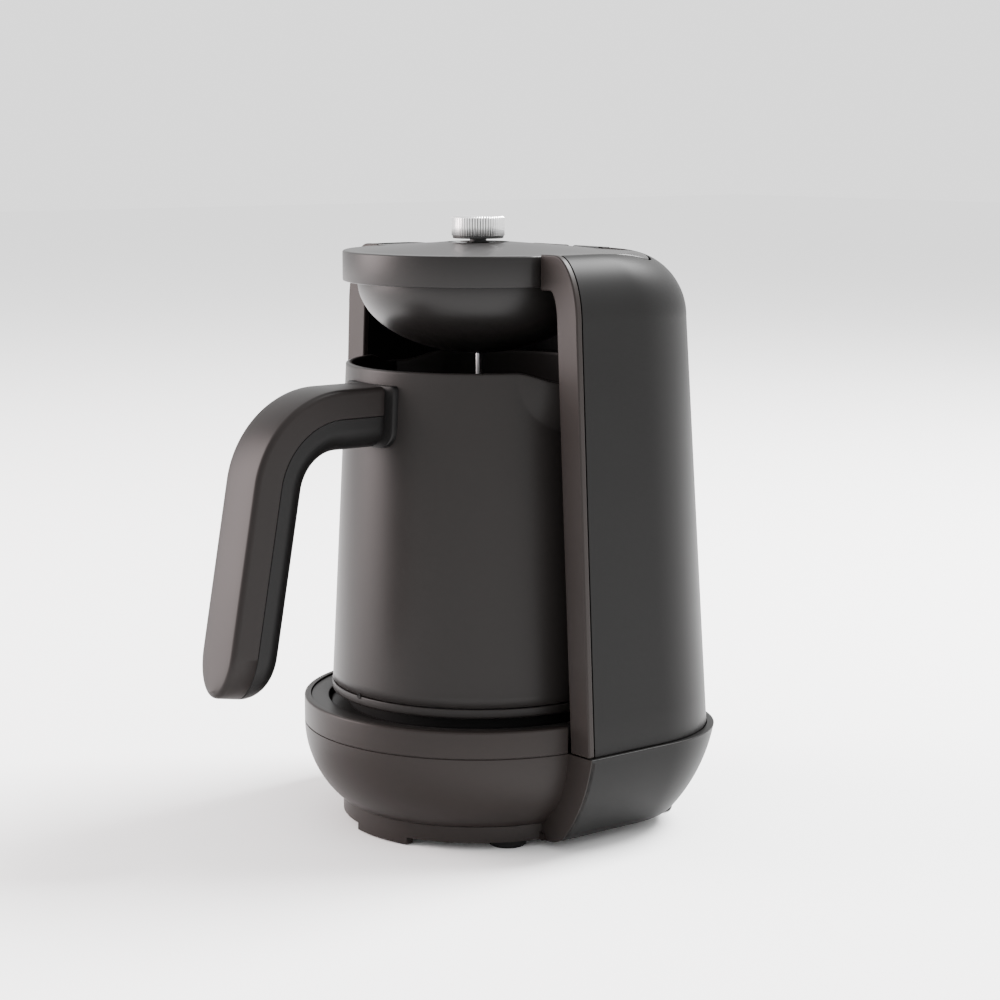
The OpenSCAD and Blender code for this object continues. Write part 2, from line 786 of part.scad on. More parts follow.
bracket_wall = 1.6;
bracket_r = 34;
module motor_screw_places(z)
    for (a = [0:120:240]) rotate(a + 90) translate([29, 0, z]) children();
module motor_bracket() {
    r_out = motor_r + FIT + bracket_wall;
    color(BLACK) at_axis() difference() {
        union() {
            translate([0, 0, motor_low_z - bracket_wall])
                cylinder(r = r_out, h = motor_h + bracket_wall);
            translate([0, 0, head_low_z + tray_plate_t])
                cylinder(r = bracket_r, h = bracket_wall);
        }
        translate([0, 0, motor_low_z])
            cylinder(r = motor_r + FIT / 2, h = motor_h + 9);
        translate([0, 0, motor_low_z - 9]) cylinder(r = 4.2, h = 19);
        motor_screw_places(head_low_z) cylinder(r = screw_r + FIT, h = 9);
    }
}

module motor_screws() {
    color(STEEL) at_axis() motor_screw_places(head_low_z + tray_plate_t + bracket_wall
        + screw_head_h) mirror([0, 0, 1]) screw(screw_head_h + bracket_wall + tray_plate_t);
}

module motor_shaft() {
    low = coupling_low_z + rod_depth + 0.2;
    color(STEEL) at_axis() translate([0, 0, low])
        cylinder(r = shaft_r, h = motor_low_z + motor_bore_h - 0.3 - low);
}

seal_r = 3.2;
seal_flange_r = 5;
module shaft_bush() {
    color(BLACK) at_axis() difference() {
        union() {
            translate([0, 0, dome_low_z - 0.8])
                cylinder(r = seal_r, h = dome_floor_z - dome_low_z + 0.8);
            translate([0, 0, dome_floor_z + EPS]) cylinder(r = seal_flange_r, h = 0.8);
        }
        translate([0, 0, dome_low_z - 2]) cylinder(r = rod_r + running, h = 9);
    }
}

bush_r = 4;
selector_half_w = 7;
selector_low_z = motor_top_z + 1.8;
module selector_body() {
    color(BLACK) at_axis() difference() {
        union() {
            translate([-selector_half_w, -selector_half_w, selector_low_z])
                cube([2 * selector_half_w, 2 * selector_half_w,
                    lid_under_z - selector_low_z]);
            translate([0, 0, lid_under_z - EPS])
                cylinder(r = bush_r, h = cone_top_z - lid_under_z);
        }
        translate([0, 0, plunger_low_z - FIT]) cylinder(r = stem_r + running, h = 20);
    }
}

plunger_low_z = selector_low_z + 1;
plunger_h = 1.2;
module push_plunger() {
    color(BLACK) at_axis() translate([0, 0, plunger_low_z + press_travel])
        cylinder(r = stem_r, h = plunger_h);
}

module selector_nut() {
    color(STEEL) at_axis() difference() {
        translate([0, 0, cone_top_z]) cylinder(r = 6.4, h = 0.2, $fn = 6);
        translate([0, 0, cone_top_z - 1]) cylinder(r = bush_r + running, h = 4);
    }
}

// ---------------------------------------------------------------- knob

module knob_shaft() {
    low = plunger_low_z + press_travel + plunger_h;
    color(STEEL) at_axis() translate([0, 0, low])
        cylinder(r = stem_r, h = knob_low_z + knob_h - 1.6 - low);
}

module knob() {
    n = knob_ribs * 4;
    chamfer = 0.5;
    color(SILVER) at_axis() difference() {
        union() {
            translate([0, 0, knob_low_z]) linear_extrude(knob_h - chamfer)
                polygon([for (i = [0:n - 1]) let (r = i % 4 < 2 ? knob_r : knob_r - rib_depth)
                    [r * cos(i * 360 / n), r * sin(i * 360 / n)]]);
            translate([0, 0, knob_low_z + knob_h - chamfer - EPS])
                cylinder(r1 = knob_r - rib_depth, r2 = knob_r - rib_depth - chamfer,
                    h = chamfer + EPS);
        }
        translate([0, 0, knob_low_z - 1]) cylinder(r = stem_r, h = knob_h - 1.6 + 1);
    }
}

// ---------------------------------------------------------------- whisk

coupling_top_z = motor_low_z - boss_h;
rod_depth = 3;          // how far the rod goes into the coupling
coupling_low_z = dome_floor_z + 1.4;
module whisk_coupling() {
    color(BLACK) at_axis() difference() {
        translate([0, 0, coupling_low_z])
            cylinder(r = 3.4, h = coupling_top_z - coupling_low_z - 0.2);
        translate([0, 0, coupling_low_z - 1]) cylinder(r = rod_r, h = 4);
        translate([0, 0, coupling_low_z + rod_depth + 0.2]) cylinder(r = shaft_r, h = 9);
    }
}

module whisk_rod() {
    low = whisk_low_z + whisk_wire_r;
    color(SILVER) at_axis() translate([0, 0, low])
        cylinder(r = rod_r, h = coupling_low_z + rod_depth - low);
}

// a closed ring of wire on three spokes
module whisk_coil() {
    z = whisk_low_z + whisk_wire_r;
    color(SILVER) at_axis() difference() {
        union() {
            translate([0, 0, z]) rotate_extrude()
                translate([whisk_r - whisk_wire_r, 0]) circle(r = whisk_wire_r, $fn = 24);
            for (a = [0:120:240]) rotate(a) translate([0, 0, z]) rotate([0, 90, 0])
                cylinder(r = whisk_wire_r * 0.8, h = whisk_r - whisk_wire_r, $fn = 24);
            translate([0, 0, z - whisk_wire_r]) cylinder(r = rod_r + 0.8, h = 3);
        }
        translate([0, 0, z]) cylinder(r = rod_r, h = 9);
    }
}

// ---------------------------------------------------------------- pot

pot_lean = (pot_low_r - pot_rim_r) / (pot_rim_z - pot_low_z);
function pot_r(z) = pot_rim_r + pot_lean * (pot_rim_z - z);
function fold(a) = abs(((a % 180) + 180) % 180 > 90 ? 180 - ((a % 180) + 180) % 180
    : ((a % 180) + 180) % 180);
function blend(t) = t <= 0 ? 0 : t >= 1 ? 1 : t * t * (3 - 2 * t);
// half the angle that the spout takes, which shrinks to nothing at its lower end
function spout_reach(down) = spout_half_angle * sqrt(max(0, 1 - pow(down / spout_h, 2)));
function rim_z(a) = pot_rim_z - spout_dip * blend(1.15 * (1 - fold(a) / spout_half_angle));

pot_sides = 96;
pot_rows = [0, 0.4, 0.8, 0.825, 0.84, 0.87, 0.91, 0.95, 1];

function wall_point(a, k, off) =
    let (z = pot_wall_z + (rim_z(a) - pot_wall_z) * k,
        r = (pot_r(z) - off) / cos(max(0, spout_reach(pot_rim_z - z) - fold(a))))
    [r * cos(a), r * sin(a), z];

module pot_body() {
    n = pot_sides;
    m = len(pot_rows);
    rows = 2 * m;
    points = concat(
        [for (j = [0:m - 1], i = [0:n - 1]) wall_point(i * 360 / n, pot_rows[j], 0)],
        [for (j = [m - 1:-1:0], i = [0:n - 1]) wall_point(i * 360 / n, pot_rows[j], pot_wall)]);
    quads = [for (j = [0:rows - 1], i = [0:n - 1])
        let (a = j * n + i, b = j * n + (i + 1) % n,
            c = ((j + 1) % rows) * n + (i + 1) % n, d = ((j + 1) % rows) * n + i)
        [a, d, c, b]];
    color(DARK) at_axis() polyhedron(points, [for (q = quads) each
        [[q[0], q[1], q[2]], [q[0], q[2], q[3]]]]);
}

floor_z = pot_wall_z + 3;
floor_t = 1.5;
inner_low_r = (pot_r(floor_z) - pot_wall) * cos(180 / pot_sides) - 0.05;
module pot_floor() {
    color(STEEL) at_axis() translate([0, 0, floor_z])
        cylinder(r = inner_low_r, h = floor_t);
}

heater_out_r = 36;
heater_in_r = 28;
heater_t = 2.6;
heater_slot = 8;
module heating_ring() {
    color(COPPER) at_axis() translate([0, 0, floor_z - heater_t]) difference() {
        cylinder(r = heater_out_r, h = heater_t);
        translate([0, 0, -1]) cylinder(r = heater_in_r, h = heater_t + 2);
        translate([heater_in_r - 1, -heater_slot / 2, -1])
            cube([heater_out_r - heater_in_r + 2, heater_slot, heater_t + 2]);
    }
}

module thermostat() {
    y = (socket_r + heater_in_r) / 2;
    color(BLACK) at_axis() translate([0, y, floor_z - heater_t]) cylinder(r = 5, h = heater_t);
}

socket_r = 12;
module pot_connector() {
    color(BLACK) at_axis() difference() {
        translate([0, 0, pot_low_z]) cylinder(r = socket_r, h = floor_z - pot_low_z);
        translate([0, 0, pot_low_z - 1]) cylinder(r = post_r + FIT,
            h = post_top_z - pot_low_z + 1 + FIT);
    }
}

module pot_base_ring() {
    foot_inset = 0.8;
    color(DARK) at_axis() difference() {
        union() {
            translate([0, 0, pot_low_z]) cylinder(r1 = pot_low_r - foot_inset,
                r2 = pot_low_r, h = foot_inset);
            translate([0, 0, pot_low_z + foot_inset - EPS])
                cylinder(r = pot_low_r, h = foot_ring_h - foot_inset + EPS);
            translate([0, 0, pot_low_z + 1]) cylinder(r = inner_low_r - FIT,
                h = floor_z - pot_low_z - 1);
        }
        translate([0, 0, pot_low_z + 1.6]) cylinder(r = inner_low_r - base_wall, h = 9);
        translate([0, 0, pot_low_z - 1]) cylinder(r = socket_r + FIT, h = 9);
    }
    // ledge that the pot's wall stands on
    color(DARK) at_axis() translate([0, 0, pot_low_z + foot_ring_h - EPS]) difference() {
        cylinder(r = pot_low_r - 1.4, h = groove_h + EPS);
        translate([0, 0, -1]) cylinder(r = inner_low_r - base_wall, h = 3);
    }
}

// ---------------------------------------------------------------- handle

bracket_depth = 3.4;
grip_part_r = bend_out_r - front_depth;
grip_in_r = grip_part_r - inner_depth;
root_y = pot_r(bend_z + grip_part_r) + bracket_depth;

// section across the handle: x is the distance from the bend's centre, y is across
function grip_side(r0, r1, w, c0, c1) = concat(
    c0 > 0 ? arc(r0 + c0, w - c0, c0, 180, 90, 6) : [[r0, w]],
    c1 > 0 ? arc(r1 - c1, w - c1, c1, 90, 0, 6) : [[r1, w]]);
module grip_section(r0, r1, w, c0, c1) {
    side = grip_side(r0, r1, w, c0, c1);
    polygon(concat(side, [for (p = reversed(side)) [p[0], -p[1]]]));
}

// everything beyond the lower end of the bend, seen from the bend's centre
module below_bend() rotate([0, 0, 180 - grip_lean])
    translate([-FAR / 2, 0, -FAR / 2]) cube(FAR);

// a section carried along the root, round the bend and down the grip, which is a hair
// thinner, so that its sides do not lie in those of the bend
module along_grip(root, len, r0, r1, w, c0 = 0, c1 = 0) {
    translate([0, -bend_y, bend_z]) rotate([90, 0, 90]) {
        rotate([0, 0, 90]) rotate([90, 0, 0]) linear_extrude(root)
            grip_section(r0, r1, w, c0, c1);
        difference() {
            rotate_extrude() grip_section(r0, r1, w, c0, c1);
            translate([0, -FAR / 2, -FAR / 2]) cube(FAR);
            below_bend();
        }
        intersection() {
            rotate([0, 0, 180 - grip_lean]) rotate([90, 0, 0]) translate([0, 0, -len])
                linear_extrude(len + 1) grip_section(r0 + EPS, r1 - EPS, w - EPS, c0, c1);
            below_bend();
        }
    }
}

// the room that the grip's round lower end may fill
module grip_bounds(w, len, heel) {
    translate([0, -bend_y, bend_z]) rotate([90, 0, 90])
        rotate([0, 0, 180 - grip_lean]) intersection() {
            rotate([0, 90, 0]) linear_extrude(FAR) {
                translate([-w, -FAR]) square([2 * w, FAR + len - w]);
                translate([0, len - w]) circle(r = w);
            }
            translate([0, 0, -FAR / 2]) linear_extrude(FAR) union() {
                translate([0, -FAR]) square([FAR, FAR + len - heel]);
                translate([grip_part_r, -FAR]) square([FAR, FAR + len]);
                translate([grip_part_r, len - heel]) intersection() {
                    circle(r = heel);
                    translate([-heel, 0]) square([heel, heel]);
                }
            }
        }
}

module grip_shell(r0, r1, w, c0, c1, off) {
    intersection() {
        along_grip(bend_y - root_y, grip_len - off, r0, r1, w, c0, c1);
        union() {
            grip_bounds(w, grip_len - off, inner_depth - off);
            translate([-FAR / 2, -FAR / 2, bend_z]) cube([FAR, FAR, FAR]);
        }
    }
}

module handle_outer() {
    color(BROWN) at_axis() difference() {
        grip_shell(grip_part_r, bend_out_r, grip_half_w, 0, front_edge_r, 0);
        grip_shell(grip_part_r - 1, bend_out_r - grip_wall, grip_half_w - grip_wall, 0, 0,
            grip_wall);
    }
}

module handle_inner() {
    color(DARK) at_axis() difference() {
        grip_shell(grip_in_r, grip_part_r, grip_half_w, inner_edge_r, 0, 0);
        grip_shell(grip_in_r + grip_wall, grip_part_r + 1, grip_half_w - grip_wall,
            inner_edge_r - grip_wall, 0, grip_wall);
    }
}

collar_t = 2;
core_t = 2.5;
module handle_core() {
    w = grip_half_w - grip_wall - FIT;
    color(STEEL) at_axis() difference() {
        along_grip(bend_y - root_y, grip_len - inner_depth - grip_half_w,
            grip_part_r - core_t, grip_part_r + core_t, w);
        handle_screw_holes();
    }
}

screw_spread = 4;
module handle_screw_places() for (side = [-1, 1])
    translate([side * screw_spread, -root_y, bend_z + grip_part_r]) rotate([90, 0, 0])
        children();
module handle_screw_holes() handle_screw_places()
    cylinder(r = screw_r + running, h = 30, center = true);

// the pot's wall, grown outwards, between two heights
module wall_cone(off, low, high)
    translate([0, 0, low]) cylinder(r1 = pot_r(low) + off, r2 = pot_r(high) + off,
        h = high - low, $fn = 180);

// collar against the pot's wall, and a short neck that carries the handle
module handle_bracket() {
    low = bend_z + grip_in_r;
    high = bend_z + bend_out_r;
    color(DARK) at_axis() difference() {
        union() {
            intersection() {
                wall_cone(collar_t, low, high);
                translate([-collar_half_w, -root_y, low])
                    cube([2 * collar_half_w, root_y, high - low]);
            }
            translate([-grip_half_w, -root_y, low])
                cube([2 * grip_half_w, root_y, high - low]);
        }
        wall_cone(WALL_GAP, low - 1, high + 1);
        handle_screw_holes();
    }
}

handle_screw_len = 12;
module handle_screws() {
    color(STEEL) at_axis() handle_screw_places()
        translate([0, 0, 0.8 - bracket_depth]) cylinder(r = screw_r, h = handle_screw_len);
}

base_bowl();
base_housing();
base_cover();
feet();
well_tray();
seat_ring();
base_connector();
control_board();
board_parts();
cord_gland();
cover_screws();
front_frame();
rear_shell();
inner_liner();
hinge_bracket();
hinge_pin();
hinge_screws();
head_cover();
head_tray();
dome();
hinge_leaf();
head_screws();
motor();
motor_bracket();
motor_screws();
motor_shaft();
shaft_bush();
selector_body();
selector_nut();
push_plunger();
knob();
knob_shaft();
whisk_coupling();
whisk_rod();
whisk_coil();
pot_body();
pot_floor();
heating_ring();
thermostat();
pot_connector();
pot_base_ring();
handle_bracket();
handle_outer();
handle_inner();
handle_core();
handle_screws();
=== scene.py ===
"""Electric Turkish coffee maker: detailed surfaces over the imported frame.

Lengths are in millimetres in a local frame whose vertical axis is that of the pot,
the head, the knob and the bowl; `place` turns them into metres in the part's frame.
"""
import math

import bmesh
import bpy
from mathutils import Matrix, Vector


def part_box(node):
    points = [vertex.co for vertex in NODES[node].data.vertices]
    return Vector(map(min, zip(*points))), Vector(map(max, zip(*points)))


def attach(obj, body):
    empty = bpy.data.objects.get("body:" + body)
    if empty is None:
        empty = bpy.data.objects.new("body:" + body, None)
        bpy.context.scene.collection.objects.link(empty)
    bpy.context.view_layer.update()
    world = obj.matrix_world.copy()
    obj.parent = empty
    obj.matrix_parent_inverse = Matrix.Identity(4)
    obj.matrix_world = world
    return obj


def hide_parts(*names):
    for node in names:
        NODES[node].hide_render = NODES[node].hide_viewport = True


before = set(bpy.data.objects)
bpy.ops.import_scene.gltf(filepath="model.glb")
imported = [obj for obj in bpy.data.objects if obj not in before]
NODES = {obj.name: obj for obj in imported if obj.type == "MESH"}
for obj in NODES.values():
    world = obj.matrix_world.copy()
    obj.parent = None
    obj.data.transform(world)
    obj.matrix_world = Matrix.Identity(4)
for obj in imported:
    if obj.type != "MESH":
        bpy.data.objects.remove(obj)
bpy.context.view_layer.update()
MM = 0.001


# ------------------------------------------------------------------ frame sizes

def span(node, axis):
    """Lowest and highest value of a CAD node along an axis, in millimetres."""
    low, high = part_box(node)
    return low[axis] / MM, high[axis] / MM


KNOB_LOW, KNOB_TOP = span("knob", 2)
KNOB_R = (span("knob", 0)[1] - span("knob", 0)[0]) / 2
AXIS_Y = sum(span("knob", 1)) / 2
HEAD_LOW, HEAD_PEAK = span("head_cover", 2)
HEAD_R = AXIS_Y - span("head_cover", 1)[0]
LID_HALF_W = span("head_cover", 0)[1]
LID_REAR = span("head_cover", 1)[1] - AXIS_Y
FRAME_FRONT = span("front_frame", 1)[0] - AXIS_Y
FRAME_BACK = span("front_frame", 1)[1] - AXIS_Y
COLUMN_LOW, COLUMN_TOP = span("rear_shell", 2)
COLUMN_LOW_W = span("rear_shell", 0)[1]
COLUMN_LOW_REAR = span("rear_shell", 1)[1] - AXIS_Y
BASE_LOW, DECK_Z = span("base_housing", 2)
BASE_HALF_W = span("base_housing", 0)[1]
BASE_REAR = span("base_housing", 1)[1] - AXIS_Y
BOWL_LOW, RIM_Z = span("base_bowl", 2)
RIM_R = AXIS_Y - span("base_bowl", 1)[0]
POT_FOOT_Z = span("pot_base_ring", 2)[0]
POT_LOW_R = span("pot_base_ring", 0)[1]
POT_LOW, POT_TOP = span("pot_body", 2)
GRIP_HALF_W = span("handle_outer", 0)[1]


def place(x, y, z):
    """A point of the local frame, in metres in the part's frame."""
    return (x * MM, (y + AXIS_Y) * MM, z * MM)


def sin(degrees):
    """Sine of an angle in degrees, as all angles here are."""
    return math.sin(math.radians(degrees))


def cos(degrees):
    """Cosine of an angle in degrees."""
    return math.cos(math.radians(degrees))


# ------------------------------------------------------------------ camera

CAMERA_AT = (669.8, -523.3, 250.8)
CAMERA_FORWARD = (-0.77281, 0.61533, -0.15532)
FOCAL_PX = 2358.0
PHOTO_PX = 1000.0
SENSOR = 36.0


def make_camera():
    """The photo's camera, fitted to the round edges of the base, the disc and the pot."""
    data = bpy.data.cameras.new("camera")
    data.sensor_width = SENSOR
    data.lens = SENSOR * FOCAL_PX / PHOTO_PX
    data.clip_end = 20
    camera = bpy.data.objects.new("camera", data)
    bpy.context.scene.collection.objects.link(camera)
    camera.location = place(*CAMERA_AT)
    camera.rotation_euler = Vector(CAMERA_FORWARD).to_track_quat("-Z", "Y").to_euler()
    bpy.context.scene.camera = camera


# ------------------------------------------------------------------ materials

CLOUD_SCALE, CLOUD_DETAIL = 22, 4
CLOUD_LOW, CLOUD_HIGH = 0.3, 0.7
GLOSS_SPREAD = 0.08
GRAIN_MM, GRAIN_DETAIL, GRAIN_DEPTH = 0.25, 2, 0.03


def material(name, color, rough, metal=0.0, grain=0.0, mottle=0.06, specular=0.12):
    """A moulded surface: fine grain in the bump, slight cloudiness in tone and gloss."""
    mat = bpy.data.materials.new(name)
    mat.use_nodes = True
    tree = mat.node_tree
    shader = tree.nodes["Principled BSDF"]
    shader.inputs["Metallic"].default_value = metal
    shader.inputs["Specular IOR Level"].default_value = specular
    where = tree.nodes.new("ShaderNodeTexCoord")

    cloud = tree.nodes.new("ShaderNodeTexNoise")
    cloud.inputs["Scale"].default_value = CLOUD_SCALE
    cloud.inputs["Detail"].default_value = CLOUD_DETAIL
    tree.links.new(where.outputs["Object"], cloud.inputs["Vector"])

    tone = tree.nodes.new("ShaderNodeValToRGB")
    dark, light = tone.color_ramp.elements
    dark.position, light.position = CLOUD_LOW, CLOUD_HIGH
    dark.color = tuple(c * (1 - mottle) for c in color) + (1,)
    light.color = tuple(c * (1 + mottle) for c in color) + (1,)
    tree.links.new(cloud.outputs["Fac"], tone.inputs["Fac"])
    tree.links.new(tone.outputs["Color"], shader.inputs["Base Color"])

    gloss = tree.nodes.new("ShaderNodeMapRange")
    gloss.inputs["To Min"].default_value = rough * (1 - GLOSS_SPREAD)
    gloss.inputs["To Max"].default_value = rough * (1 + GLOSS_SPREAD)
    tree.links.new(cloud.outputs["Fac"], gloss.inputs["Value"])
    tree.links.new(gloss.outputs["Result"], shader.inputs["Roughness"])

    if grain > 0:
        speck = tree.nodes.new("ShaderNodeTexNoise")
        speck.inputs["Scale"].default_value = 1 / (GRAIN_MM * MM)
        speck.inputs["Detail"].default_value = GRAIN_DETAIL
        tree.links.new(where.outputs["Object"], speck.inputs["Vector"])
        bump = tree.nodes.new("ShaderNodeBump")
        bump.inputs["Strength"].default_value = grain
        bump.inputs["Distance"].default_value = GRAIN_DEPTH * MM
        tree.links.new(speck.outputs["Fac"], bump.inputs["Height"])
        tree.links.new(bump.outputs["Normal"], shader.inputs["Normal"])
    return mat


# one body plastic in two copies: a darker neutral one, painted shade for the column and rear base
# whose sides face away from the key light, and a lighter warm one, painted light for the frame,
# bowl, bands and plinth that face it
SHADED_BODY = material("body_plastic_painted_shade", (0.0050, 0.0048, 0.0047), 0.46, grain=0.2, specular=0.08)
HEAD = material("head_plastic", (0.0055, 0.0048, 0.0046), 0.40, grain=0.2, specular=0.20)
LIT_BODY = material("body_plastic_painted_light", (0.0120, 0.0094, 0.0086), 0.42, grain=0.2)
POT = material("pot_plastic", (0.0100, 0.0088, 0.0084), 0.40, grain=0.15)
GRIP = material("grip_plastic", (0.0088, 0.0070, 0.0066), 0.40, grain=0.2)
GRIP_DARK = material("grip_inner_plastic", (0.0035, 0.0033, 0.0033), 0.38, grain=0.25)
# painted shade: near-black for the recess of the housing behind the pot, the vent hole and hidden
# inner parts
INSIDE_SHADE = material("inside_painted_shade", (0.0015, 0.0015, 0.0015), 0.6, grain=0.3, specular=0.1)
TRAY = material("tray_plastic", (0.0110, 0.0100, 0.0096), 0.42, grain=0.2)
RUBBER = material("rubber", (0.006, 0.006, 0.006), 0.75, grain=0.4)
PLATED = material("plated", (0.80, 0.80, 0.80), 0.30, metal=1.0, mottle=0.02, grain=0.1,
                  specular=0.5)
STEEL = material("steel", (0.55, 0.55, 0.56), 0.32, metal=1.0, mottle=0.03, grain=0.1,
                 specular=0.5)
# painted shade: near-black grey for the knob's core, which shows between the ribs and as a band
# under them
KNOB_GROOVE_SHADE = material("knob_groove_painted_shade", (0.035, 0.035, 0.035), 0.5)
# dark steel for the hinge; on the knob's shaft and nut under the knob it is painted shade
DARK_STEEL_AND_SHADE = material("dark_steel_and_painted_shade", (0.05, 0.05, 0.05), 0.5, metal=1.0, grain=0.1)
BOARD = material("board", (0.02, 0.12, 0.05), 0.4, grain=0.2)
COPPER = material("copper", (0.6, 0.3, 0.18), 0.35, metal=1.0, mottle=0.05, specular=0.5)


# ------------------------------------------------------------------ mesh tools

MERGE = 0.002
SHARP_ANGLE = 35.0
CENTRE_R = 0.01


def new_piece(name, verts, faces, mat, body, sharp=SHARP_ANGLE):
    """A mesh from local millimetre points, riding on a CAD body."""
    mesh = bpy.data.meshes.new(name)
    mesh.from_pydata([place(*v) for v in verts], [], faces)
    work = bmesh.new()
    work.from_mesh(mesh)
    bmesh.ops.remove_doubles(work, verts=work.verts, dist=MERGE * MM)
    bmesh.ops.recalc_face_normals(work, faces=work.faces)
    work.to_mesh(mesh)
    work.free()
    mesh.materials.append(mat)
    mesh.shade_smooth()
    mesh.set_sharp_from_angle(angle=math.radians(sharp))
    piece = bpy.data.objects.new(name, mesh)
    bpy.context.scene.collection.objects.link(piece)
    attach(piece, body)
    return piece


def grid_faces(rows, columns, wrap=False):
    """Quads of a grid of points stored row by row."""
    faces = []
    for i in range(rows - 1):
        for j in range(columns if wrap else columns - 1):
            k = (j + 1) % columns
            faces.append((i * columns + j, i * columns + k,
                          (i + 1) * columns + k, (i + 1) * columns + j))
    return faces


def arc(cx, cy, r, a0, a1, n):
    """Points of an arc from one angle to another, in n steps."""
    return [(cx + r * cos(a0 + (a1 - a0) * i / n), cy + r * sin(a0 + (a1 - a0) * i / n))
            for i in range(n + 1)]


NEARLY_STRAIGHT = 89
MOST_CUT = 0.49


def rounded(corners, n):
    """Polyline whose corners (x, y, radius) are rounded in n steps; its ends stay sharp."""
    out = [corners[0][:2]]
    for i in range(1, len(corners) - 1):
        x, y, r = corners[i]
        p = Vector((x, y))
        a = Vector(corners[i - 1][:2]) - p
        b = Vector(corners[i + 1][:2]) - p
        half = a.angle(b) / 2
        if r <= 0 or half > math.radians(NEARLY_STRAIGHT):
            out.append((x, y))
            continue
        cut = min(r / math.tan(half), a.length * MOST_CUT, b.length * MOST_CUT)
        r = cut * math.tan(half)
        centre = p + (a.normalized() + b.normalized()).normalized() * (r / math.sin(half))
        u = p + a.normalized() * cut - centre
        v = p + b.normalized() * cut - centre
        turn = u.angle_signed(v)
        for k in range(n + 1):
            q = u.copy()
            q.rotate(Matrix.Rotation(-turn * k / n, 2))
            out.append(tuple(centre + q))
    out.append(corners[-1][:2])
    return out


def lathe(name, profile, mat, body, node, steps=192, closed=True, sharp=SHARP_ANGLE,
          cx=0.0, cy=0.0, rear=math.inf):
    """Profile (r, z) turned about a vertical axis and cut flat at the rear, for a CAD node."""
    angles = [360 * j / steps for j in range(steps)]
    verts = [(cx + r * cos(a), min(cy + r * sin(a), rear), z) for r, z in profile for a in angles]
    rows = len(profile)
    faces = grid_faces(rows, steps, wrap=True)
    if closed:
        last = (rows - 1) * steps
        faces += [(last + j, last + (j + 1) % steps, (j + 1) % steps, j) for j in range(steps)]
    piece = new_piece(name, verts, faces, mat, body, sharp)
    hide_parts(node)


EASE_ANGLE = 40


def slab(name, outline, front, back, mat, body, ease, segments=3):
    """Outline (x, z) pushed along y between two values, with its edges eased."""
    n = len(outline)
    verts = [(x, front, z) for x, z in outline] + [(x, back, z) for x, z in outline]
    faces = [tuple(range(n)), tuple(reversed(range(n, 2 * n)))]
    faces += [(i, (i + 1) % n, n + (i + 1) % n, n + i) for i in range(n)]
    piece = new_piece(name, verts, faces, mat, body)
    bevel = piece.modifiers.new("ease", "BEVEL")
    bevel.width = ease * MM
    bevel.segments = segments
    bevel.limit_method = "ANGLE"
    bevel.angle_limit = math.radians(EASE_ANGLE)
    bevel.harden_normals = True
    bevel.use_clamp_overlap = True
    return piece


# ------------------------------------------------------------------ base

BOWL_SIDE_R = 36.0
BAND_Z = 36.8
BASE_WALL = 2.4
PLINTH_R = 50.3
BOWL_UNDER_IN, BOWL_UNDER_EASE = 0.6, 0.15
# the step under the rim band: inset from the rim, height over the band's lower edge
BOWL_STEP = ((0.02, -0.15), (0.35, 0.0), (0.35, 0.12), (0.0, 0.4), (0.0, 1.0))
RIM_OUT_ROUND, RIM_IN_ROUND = 0.8, 0.1
BOWL_STEPS, BOWL_ARC_N = 160, 40
FOOT_R, FOOT_X, FOOT_YS, FOOT_H = 6.8, 38.6, (-17.3, 52.7), 7.0
FOOT_LOW_ROUND, FOOT_TOP_ROUND = 1.2, 0.4


def bowl_curve(off):
    """Side of the bowl from the plinth up to the rim band, off inside its outer face."""
    a1 = math.degrees(math.asin((BAND_Z - BOWL_LOW) / (BOWL_SIDE_R - off)))
    return arc(RIM_R - BOWL_SIDE_R, BAND_Z, BOWL_SIDE_R - off, -a1, 0, BOWL_ARC_N)


def make_bowl():
    """Front half of the bowl, with the fine step under its rim band."""
    outer = bowl_curve(0)[:-1]
    under_r = outer[0][0]
    profile = [(under_r - BOWL_UNDER_IN, BOWL_LOW),
               (under_r - BOWL_UNDER_EASE, BOWL_LOW + BOWL_UNDER_EASE)]
    profile += outer[1:]
    profile += [(RIM_R - inset, BAND_Z + up) for inset, up in BOWL_STEP]
    profile += rounded([profile[-1] + (0,), (RIM_R, RIM_Z, RIM_OUT_ROUND),
                        (RIM_R - BASE_WALL, RIM_Z, RIM_IN_ROUND),
                        (RIM_R - BASE_WALL, BAND_Z, 0)], 5)[1:]
    profile += list(reversed(bowl_curve(BASE_WALL)))[1:]
    verts = []
    for j in range(BOWL_STEPS + 1):
        t = -1 + 2 * j / BOWL_STEPS
        for r, z in profile:
            most = math.acos(min(1, -FRAME_FRONT / r))
            verts.append((r * math.sin(t * most), -r * math.cos(t * most), z))
    n = len(profile)
    faces = grid_faces(BOWL_STEPS + 1, n, wrap=True)
    faces += [tuple(range(n)), tuple(BOWL_STEPS * n + i for i in reversed(range(n)))]
    piece = new_piece("bowl_skin", verts, faces, LIT_BODY, "base", sharp=28)
    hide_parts("base_bowl")


# the housing's side: slope at its top, slope where it turns under, share of height of the turn
SIDE_SLOPE, TURN_SLOPE, TURN_SHARE = 10.0, 40.0, 0.113
SIDE_N, TURN_N = 24, 12
BASE_CORNER_R = 44.0
# points along the side, the corner and the rear of the housing's plan
HOUSING_COUNTS = (14, 28, 16)
HOUSING_LIP, HOUSING_TOP_IN = 0.35, 2.2
HOUSING_UNDER_IN, HOUSING_UNDER_UP = 2.6, 1.0
HOUSING_GAP = 0.3
BAND_T, BAND_IN, BAND_DROP, BAND_EASE = 2.0, 0.25, 0.1, 0.3


